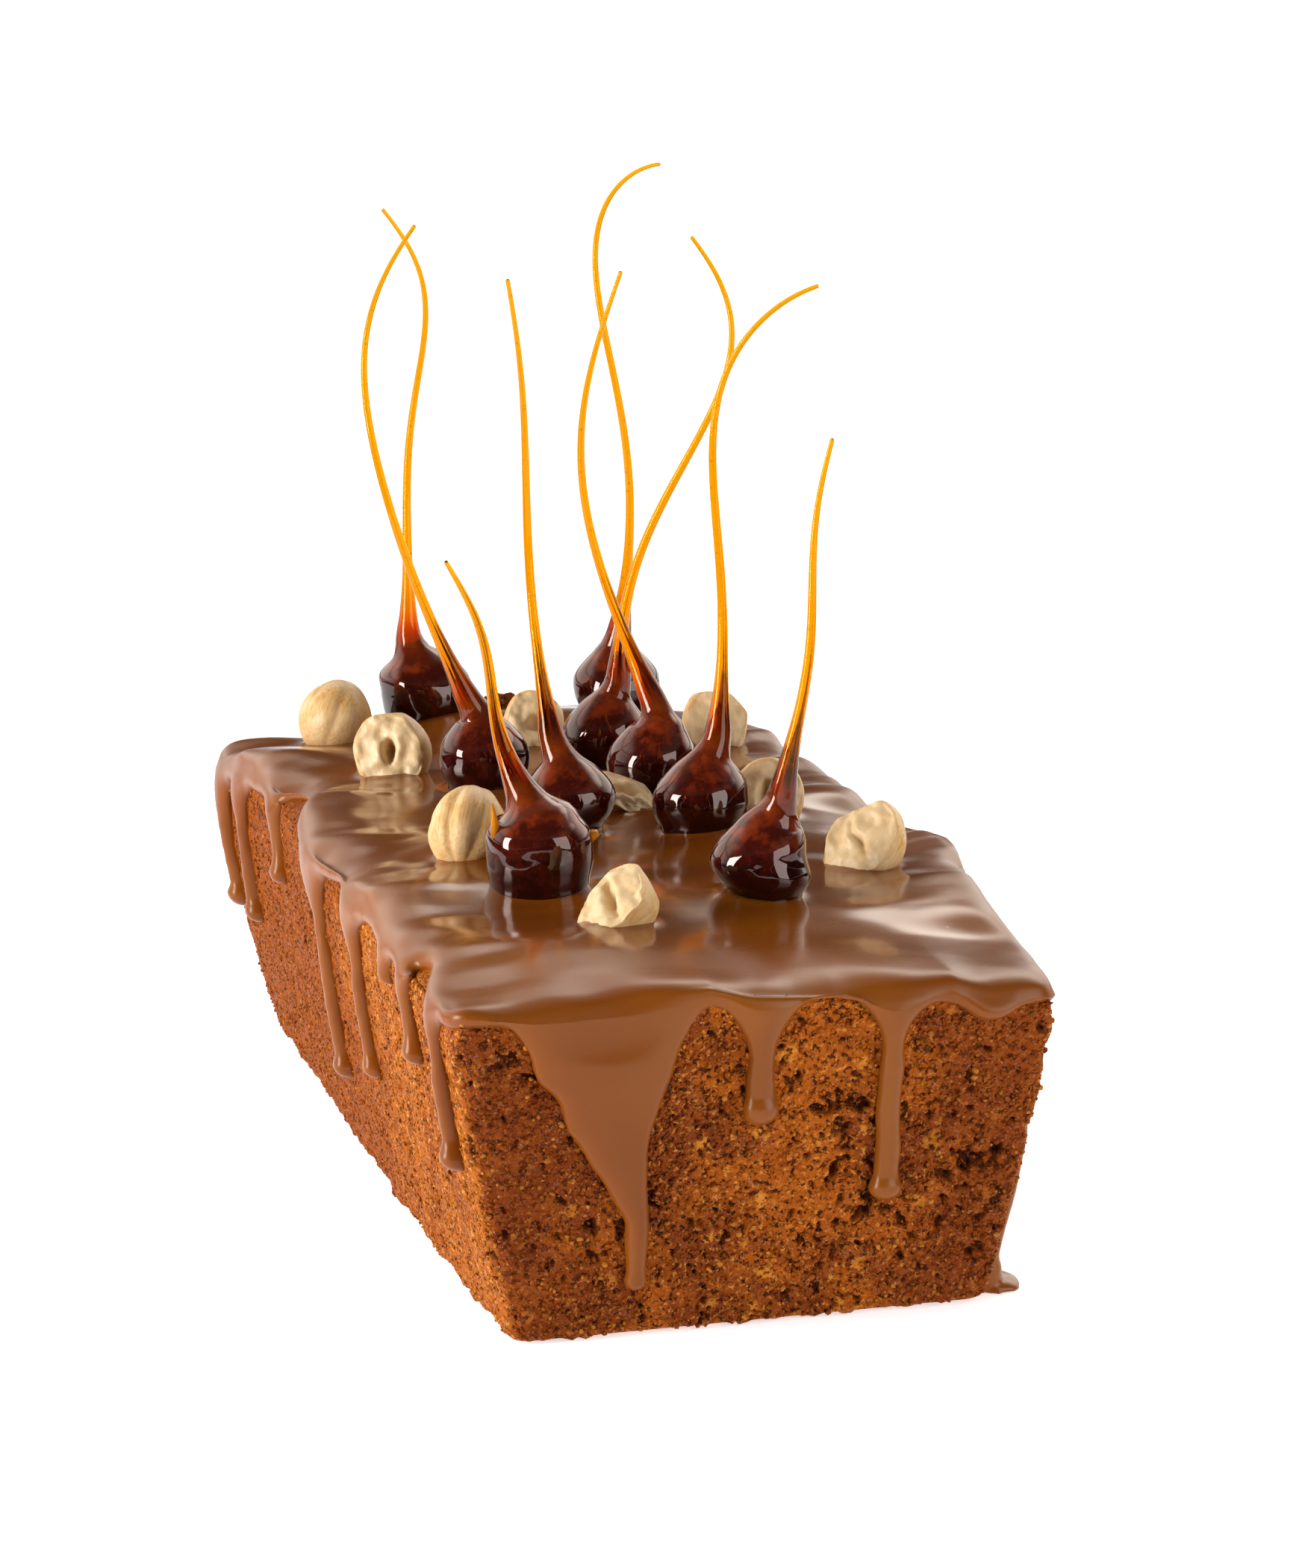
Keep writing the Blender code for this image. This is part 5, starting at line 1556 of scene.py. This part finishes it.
def nut_material(settings):
    """Blanched hazelnut: cream with golden grain, paler where it is broken."""
    look = Look(bpy.data.materials.new("blanched_hazelnut"))
    node = look.tree.nodes.new("ShaderNodeAttribute")
    node.attribute_name = "grain"
    grain = look.noise(NUT_GRAIN_SCALE, 4.0, 0.6, place=node.outputs["Vector"])
    streaks = look.ranged(grain, 0.35, 0.68)
    patches = look.ranged(look.noise(NUT_PATCH_SCALE, 2.0), 0.35, 0.7)
    colour = look.mix(streaks, settings.nut, settings.nut_golden)
    colour = look.mix(look.math("MULTIPLY", patches, 0.45), colour, settings.nut_pale)
    broken = look.attribute("broken")
    mottled = look.ranged(look.noise(INSIDE_SCALE, 4.0), 0.4, 0.75, 0.0, 0.6)
    inside = look.mix(mottled, settings.nut_pale, settings.nut)
    colour = look.mix(look.math("MULTIPLY", broken, 0.75), colour, inside)
    height = look.math("ADD", look.noise(SKIN_SCALE, 3.0), look.math("MULTIPLY", grain, 1.2))
    look.shade(Base_Color=colour, Roughness=0.42, Specular_IOR_Level=0.45)
    look.shade(Subsurface_Weight=0.25, Subsurface_Radius=(1.0, 0.6, 0.3), Subsurface_Scale=1.6 * MM)
    look.shade(Normal=look.bump(height, 0.12 * MM, 0.5))
    return look.owner


# ----------------------------------------------------------------------------------- settings

def colour_property(name, description, default):
    return FloatVectorProperty(name=name, description=description, default=default,
                               subtype="COLOR", min=0.0, max=1.0)


def length_property(name, description, default):
    return FloatProperty(name=name, description=description, default=default, unit="LENGTH",
                         min=0.0)


class NUTCAKE_PG_crumb(bpy.types.PropertyGroup):
    """Sizes and colours of the baked crumb."""

    hole_depth: length_property("Hole depth", "Depth of the largest holes of the cut face", 1.9 * MM)
    large_hole_share: FloatProperty(name="Large holes", description="Share of large holes",
                                    default=0.035, min=0.0, max=0.5, subtype="FACTOR")
    pore_share: FloatProperty(name="Pores", description="Share of small pores", default=0.12,
                              min=0.0, max=0.5, subtype="FACTOR")
    grain: length_property("Grain", "Height of the crumb's grain", 0.28 * MM)
    streak: length_property("Streaks", "Height of the upright streaks of the sides", 0.16 * MM)
    grains: IntProperty(name="Grains", description="Loose grains on each side", default=9000,
                        min=1, max=9500)
    grain_size: length_property("Grain size", "Radius of the larger loose grains", 0.42 * MM)
    highest: length_property("Highest grain", "How far the grain may stand out", 0.7 * MM)
    crumb: colour_property("Crumb", "Main colour of the cut face", (0.415, 0.096, 0.006))
    crumb_dark: colour_property("Dark crumb", "Darker patches of the cut face", (0.21, 0.039, 0.004))
    crumb_light: colour_property("Light crumb", "Lightest grains", (0.74, 0.29, 0.045))
    nut_bits: colour_property("Nut bits", "Bits of nut in the crumb", (0.66, 0.235, 0.022))
    # Painted shade: this near black darkens the holes, pores and pits, standing in for the shade inside
    # them.
    painted_hole_shade: colour_property("Holes", "Colour deep inside the holes", (0.035, 0.006, 0.001))
    crust: colour_property("Crust", "Main colour of the baked sides", (0.385, 0.100, 0.006))
    crust_dark: colour_property("Dark crust", "Darker streaks of the sides", (0.26, 0.055, 0.005))
    crust_light: colour_property("Light crust", "Lightest grains of the sides", (0.80, 0.36, 0.08))


class NUTCAKE_PG_icing(bpy.types.PropertyGroup):
    """Sizes and colours of the icing."""

    voxel: length_property("Fineness", "Cell in which the lid and the drips are melted", 0.55 * MM)
    melt_rounds: IntProperty(name="Melting", description="Rounds of smoothing", default=6, min=0)
    rim_rounds: IntProperty(name="Rim melting", description="Rounds more over the rim", default=110,
                            min=0)
    plump: length_property("Plumpness", "How far the melted skin swells out again", 0.26 * MM)
    drip_swell: length_property("Drip swell", "Unevenness of the drips' faces", 0.38 * MM)
    wave_height: length_property("Waves", "Height of the glaze's waves at its rims", 1.9 * MM)
    meniscus: length_property("Meniscus", "How far the glaze climbs round a topping", 0.55 * MM)
    drip_wander: length_property("Drip wander", "How far a drip wanders aside", 0.9 * MM)
    icing: colour_property("Icing", "Main colour of the icing", (0.222, 0.060, 0.004))
    icing_deep: colour_property("Deep icing", "Colour of its deeper patches", (0.190, 0.046, 0.003))
    gloss: FloatProperty(name="Gloss", description="Lowest roughness of the icing", default=0.17,
                         min=0.0, max=1.0, subtype="FACTOR")


class NUTCAKE_PG_caramel(bpy.types.PropertyGroup):
    """Colours of the clear caramel."""

    lump: FloatProperty(name="Lumps", description="Unevenness of the bulbs", default=0.055,
                        min=0.0, max=0.3, subtype="FACTOR")
    # Painted shade and glow: the thick and deep colours darken a bulb towards its foot, partly for its
    # depth, and the red paints a glow over its shoulder.
    caramel_thick: colour_property("Thick", "Where it is thickest", (0.013, 0.0013, 0.0010))
    caramel_deep: colour_property("Deep", "Round the middle of a bulb", (0.060, 0.0058, 0.0026))
    caramel_red: colour_property("Red", "Over a bulb's shoulder", (0.24, 0.030, 0.005))
    caramel: colour_property("Caramel", "Where it is half thick", (0.60, 0.115, 0.007))
    caramel_thin: colour_property("Thin", "Along the thin strands", (0.85, 0.43, 0.005))
    caramel_chip: colour_property("Chips", "The spike and the flake", (0.62, 0.21, 0.012))
    caramel_depth: colour_property("Depth", "What its depth lets through", (0.965, 0.80, 0.0))
    density: FloatProperty(name="Density", description="How fast its depth takes up light",
                           default=1300.0, min=0.0)


class NUTCAKE_PG_nuts(bpy.types.PropertyGroup):
    """Colours of the plain hazelnuts."""

    nut: colour_property("Nut", "Main colour", (0.68, 0.44, 0.18))
    nut_golden: colour_property("Golden grain", "Its golden grain", (0.58, 0.28, 0.06))
    nut_pale: colour_property("Pale inside", "Its pale inside", (0.76, 0.57, 0.33))


class NUTCAKE_PG_stage(bpy.types.PropertyGroup):
    """Floor and lights."""

    floor: colour_property("Floor", "Colour of the floor", (0.86, 0.875, 0.92))
    sky: FloatProperty(name="Sky", description="Light from above", default=3.0, min=0.0)
    sweep: FloatProperty(name="Sweep", description="Light low down behind", default=0.30, min=0.0)
    dark: FloatProperty(name="Dark", description="Light of the rest", default=0.025, min=0.0)
    front: FloatProperty(name="Front", description="Share of the light from above in front",
                         default=0.045, min=0.0, max=1.0, subtype="FACTOR")
    tint: colour_property("Light's tint", "Colour of the light all round", (1.0, 0.93, 0.84))
    wings: FloatProperty(name="Wings", description="Light low at both sides behind",
                         default=1.8, min=0.0)
    backdrop: FloatProperty(name="Backdrop", description="Brightness behind the cake",
                            default=1.0, min=0.0)
    glow: FloatProperty(name="Glow", description="The floor's own light", default=0.60, min=0.0)
    key: FloatProperty(name="Key light", description="Power of the left light", default=11.0,
                       min=0.0, unit="POWER")
    fill: FloatProperty(name="Fill light", description="Power of the right light", default=3.4,
                        min=0.0, unit="POWER")


class NUTCAKE_PG_settings(bpy.types.PropertyGroup):
    """All settings of the cake."""

    crumb: PointerProperty(type=NUTCAKE_PG_crumb)
    icing: PointerProperty(type=NUTCAKE_PG_icing)
    caramel: PointerProperty(type=NUTCAKE_PG_caramel)
    nuts: PointerProperty(type=NUTCAKE_PG_nuts)
    stage: PointerProperty(type=NUTCAKE_PG_stage)


# ---------------------------------------------------------------------------------- operators

class NUTCAKE_OT_loaf(bpy.types.Operator):
    """Builds the loaf with its open cut face and its baked sides"""

    bl_idname = "nutcake.loaf"
    bl_label = "Loaf"

    def execute(self, context):
        settings = context.scene.nutcake.crumb
        mesh = gridded_box()
        settle_on_loaf(mesh)
        roughen_loaf(mesh, settings)
        material = crumb_material(settings)
        add_piece("cake_crumb", thinned(mesh), material, "crumb", "cake")
        crag = crag_mesh()
        add_attribute(crag, "crust", np.ones(len(crag.vertices)))
        add_attribute(crag, "tone", np.full(len(crag.vertices), 0.3))
        add_piece("cake_crag", crag, material, "crumb")
        for side, facing, crust, share, size in GRAINED_SIDES:
            count, size = round(share * settings.grains), size * settings.grain_size
            grains = grain_mesh(mesh, "grains_" + side, facing, crust, count, size)
            add_piece("cake_grains_" + side, grains, material, "crumb")
        bpy.data.meshes.remove(mesh)
        return {"FINISHED"}


class NUTCAKE_OT_icing(bpy.types.Operator):
    """Pours the caramel icing with its drips"""

    bl_idname = "nutcake.icing"
    bl_label = "Icing"

    def execute(self, context):
        settings = context.scene.nutcake.icing
        add_piece("icing_glaze", icing_mesh(settings), icing_material(settings), "icing", "icing")
        return {"FINISHED"}


class NUTCAKE_OT_caramels(bpy.types.Operator):
    """Builds the hazelnuts dipped in caramel, with their strands"""

    bl_idname = "nutcake.caramels"
    bl_label = "Caramel hazelnuts"

    def execute(self, context):
        settings = context.scene.nutcake.caramel
        material = caramel_material(settings)
        for number, caramel in enumerate(CARAMELS, start=1):
            mesh = caramel_piece_mesh(number, caramel, settings)
            node = "caramel_%d" % number
            add_piece("dipped_hazelnut_%d" % number, mesh, material, "caramel", node)
        return {"FINISHED"}


class NUTCAKE_OT_nuts(bpy.types.Operator):
    """Builds the plain hazelnuts, whole and broken"""

    bl_idname = "nutcake.nuts"
    bl_label = "Plain hazelnuts"

    def execute(self, context):
        material = nut_material(context.scene.nutcake.nuts)
        for number, nut in enumerate(NUTS, start=1):
            mesh = nut_piece_mesh(number, nut)
            node = "hazelnut_%d" % number
            add_piece("plain_hazelnut_%d" % number, mesh, material, "hazelnut", node)
        return {"FINISHED"}


CAMERA_PLACE = (-0.2152446, -0.9470875, 0.2792431)
CAMERA_YAW, CAMERA_PITCH, CAMERA_ROLL = 0.2354, 0.2154, -0.0216
CAMERA_LENS = 127.03
SENSOR_WIDTH = 36.0
CLIP_RANGE = (0.01, 100.0)
FLOOR_SIZE = 24.0
LIGHT_TARGET = (0.0, -0.02, 0.07)
KEY_PLACE = (-0.86, -0.20, 0.27)
KEY_SIZE = (0.30, 0.54)
FILL_PLACE = (0.48, -0.66, 0.25)
FILL_SIZE = (0.55, 0.50)

# middles and sizes of the dark flags
FLAGS = (
    ((0.0, -3.5, 0.004), (8.0, 6.0, 1.0)),
    ((-2.30, 0.15, 0.004), (4.0, 1.30, 1.0)),
    ((2.35, 0.0, 0.004), (4.0, 1.00, 1.0)),
)

# The light all round is told by parts of the direction it comes from, each from -1 to 1: how far
# up, how far to the right, and how far towards the back. Each pair is where it starts and ends
# to change.
SWEEP_END = (0.10, 0.19)         # up, where the pale sweep fades out
SKY_START = (0.42, 0.54)         # up, where the light from above fades in
SKY_TOP = (0.60, 0.80)           # up, where it falls to its share at the top
TOP_SHARE = 0.14
SKY_ACROSS = (0.10, 0.36, 0.60, 1.60)    # right, then its strength at the left and at the right
BACK_START = (-0.10, 0.45)       # back, where sweep, wings and sky reach their full strength
LEFT_WING = (0.12, -0.14)        # right, where the left wing fades in
RIGHT_WING = (0.30, 0.46)        # right, where the right wing fades in
RIGHT_SHARE = 1.3                # strength of the right wing, of the left one's
WING_START = (0.03, 0.10)        # up, where the wings fade in
WING_END = (0.42, 0.54)          # up, where they fade out


def camera_matrix():
    """Where the camera stands and looks."""
    cos_yaw, sin_yaw = math.cos(CAMERA_YAW), math.sin(CAMERA_YAW)
    cos_pitch, sin_pitch = math.cos(CAMERA_PITCH), math.sin(CAMERA_PITCH)
    ahead = Vector((sin_yaw * cos_pitch, cos_yaw * cos_pitch, -sin_pitch))
    level = Vector((cos_yaw, -sin_yaw, 0.0))
    upright = level.cross(ahead)
    cos_roll, sin_roll = math.cos(CAMERA_ROLL), math.sin(CAMERA_ROLL)
    right = level * cos_roll + upright * sin_roll
    up = upright * cos_roll - level * sin_roll
    turn = Matrix((right, up, -ahead)).transposed()
    return Matrix.Translation(CAMERA_PLACE) @ turn.to_4x4()


def add_light(name, place, size, power):
    """A soft rectangular light that points at the cake."""
    light = bpy.data.lights.new(name, "AREA")
    light.shape = "RECTANGLE"
    light.size, light.size_y = size
    light.energy = power
    lamp = bpy.data.objects.new(name, light)
    lamp.location = place
    heading = Vector(LIGHT_TARGET) - Vector(place)
    lamp.rotation_euler = heading.to_track_quat("-Z", "Y").to_euler()
    bpy.context.scene.collection.objects.link(lamp)


def add_floor(settings):
    """A pale plain floor with a faint light of its own."""
    bm = bmesh.new()
    bmesh.ops.create_grid(bm, x_segments=1, y_segments=1, size=FLOOR_SIZE / 2.0)
    floor = bpy.data.objects.new("floor", mesh_from(bm, "floor"))
    bpy.context.scene.collection.objects.link(floor)
    look = Look(bpy.data.materials.new("pale_floor"))
    look.shade(Base_Color=(*settings.floor, 1.0), Roughness=0.6, Specular_IOR_Level=0.2)
    look.shade(Emission_Color=(1.0, 1.0, 1.0, 1.0), Emission_Strength=settings.glow)
    floor.data.materials.append(look.owner)


def add_flags():
    """Dark flags low in front and at the sides, out of the picture, for the gloss to reflect."""
    bm = bmesh.new()
    for place, size in FLAGS:
        verts = bmesh.ops.create_grid(bm, x_segments=1, y_segments=1, size=0.5)["verts"]
        bmesh.ops.scale(bm, vec=size, verts=verts)
        bmesh.ops.translate(bm, vec=place, verts=verts)
    flag = bpy.data.objects.new("flag", mesh_from(bm, "flag"))
    bpy.context.scene.collection.objects.link(flag)
    look = Look(bpy.data.materials.new("dark_flag"))
    look.shade(Base_Color=(0.02, 0.02, 0.02, 1.0), Roughness=0.9, Specular_IOR_Level=0.0)
    flag.data.materials.append(look.owner)
    flag.visible_camera = flag.visible_diffuse = flag.visible_shadow = False
    flag.visible_transmission = False


def studio_world(settings):
    """Light from above, two pale wings at both sides behind, a pale sweep low down, and dark.

    What looks straight at it, or through the clear caramel, sees a plain white backdrop.
    """
    look = Look(bpy.data.worlds.new("studio"))
    split = look.add("ShaderNodeSeparateXYZ", Vector=look.heading)
    rightward, backward, upward = (split.outputs[axis] for axis in "XYZ")
    behind = look.ranged(backward, *BACK_START)
    sweep = look.ranged(upward, *SWEEP_END, settings.sweep, 0.0)
    low = look.math("ADD", look.math("MULTIPLY", sweep, behind), settings.dark)
    above = look.ranged(upward, *SKY_START, 0.0, settings.sky)
    above = look.math("MULTIPLY", above, look.ranged(upward, *SKY_TOP, 1.0, TOP_SHARE))
    above = look.math("MULTIPLY", above, look.ranged(rightward, *SKY_ACROSS))
    above = look.math("MULTIPLY", above, look.ranged(behind, 0.0, 1.0, settings.front, 1.0))
    total = look.math("ADD", low, above)
    left = look.ranged(rightward, *LEFT_WING, 0.0, settings.wings)
    right = look.ranged(rightward, *RIGHT_WING, 0.0, RIGHT_SHARE * settings.wings)
    raised = look.math("MULTIPLY", look.ranged(upward, *WING_START), behind)
    lowered = look.ranged(upward, *WING_END, 1.0, 0.0)
    wings = look.math("MULTIPLY", look.math("ADD", left, right), look.math("MULTIPLY", raised, lowered))
    total = look.math("MAXIMUM", total, wings)
    ray = look.add("ShaderNodeLightPath")
    seen = look.math("MAXIMUM", ray.outputs["Is Camera Ray"], ray.outputs["Is Transmission Ray"])
    total = look.ranged(seen, 0.0, 1.0, total, settings.backdrop)
    backdrop = look.tree.nodes["Background"]
    look.set(backdrop.inputs["Color"], look.mix(seen, settings.tint, (1.0, 1.0, 1.0)))
    look.set(backdrop.inputs["Strength"], total)
    return look.owner


def add_camera():
    """The camera at the picture's angle, with no blur of depth."""
    camera = bpy.data.objects.new("camera", bpy.data.cameras.new("camera"))
    camera.data.lens = CAMERA_LENS
    camera.data.sensor_width = SENSOR_WIDTH
    camera.data.clip_start, camera.data.clip_end = CLIP_RANGE
    camera.matrix_world = camera_matrix()
    bpy.context.scene.collection.objects.link(camera)
    bpy.context.scene.camera = camera


class NUTCAKE_OT_stage(bpy.types.Operator):
    """Sets up the floor, the lights and the camera"""

    bl_idname = "nutcake.stage"
    bl_label = "Stage"

    def execute(self, context):
        settings = context.scene.nutcake.stage
        add_floor(settings)
        add_flags()
        context.scene.world = studio_world(settings)
        add_light("key_left", KEY_PLACE, KEY_SIZE, settings.key)
        add_light("fill_right", FILL_PLACE, FILL_SIZE, settings.fill)
        add_camera()
        context.scene.view_settings.view_transform = "Standard"
        return {"FINISHED"}


# group of settings, and the operator over it
PANEL_BOXES = (
    ("crumb", "loaf"),
    ("icing", "icing"),
    ("caramel", "caramels"),
    ("nuts", "nuts"),
    ("stage", "stage"),
)


class NUTCAKE_PT_panel(bpy.types.Panel):
    """The cake's operators and settings"""

    bl_idname = "NUTCAKE_PT_panel"
    bl_label = "Nut cake"
    bl_space_type = "VIEW_3D"
    bl_region_type = "UI"
    bl_category = "Nut cake"

    def draw(self, context):
        settings = context.scene.nutcake
        for group, operator in PANEL_BOXES:
            box = self.layout.box()
            box.operator("nutcake." + operator)
            values = getattr(settings, group)
            for name in values.__annotations__:
                box.prop(values, name)


CLASSES = (
    NUTCAKE_PG_crumb, NUTCAKE_PG_icing, NUTCAKE_PG_caramel, NUTCAKE_PG_nuts, NUTCAKE_PG_stage,
    NUTCAKE_PG_settings, NUTCAKE_OT_loaf, NUTCAKE_OT_icing, NUTCAKE_OT_caramels, NUTCAKE_OT_nuts,
    NUTCAKE_OT_stage, NUTCAKE_PT_panel,
)


def register():
    for item in CLASSES:
        bpy.utils.register_class(item)
    bpy.types.Scene.nutcake = PointerProperty(type=NUTCAKE_PG_settings)


def unregister():
    del bpy.types.Scene.nutcake
    for item in reversed(CLASSES):
        bpy.utils.unregister_class(item)


def main():
    register()
    bpy.ops.nutcake.loaf()
    bpy.ops.nutcake.icing()
    bpy.ops.nutcake.caramels()
    bpy.ops.nutcake.nuts()
    bpy.ops.nutcake.stage()


if __name__ == "__main__":
    main()
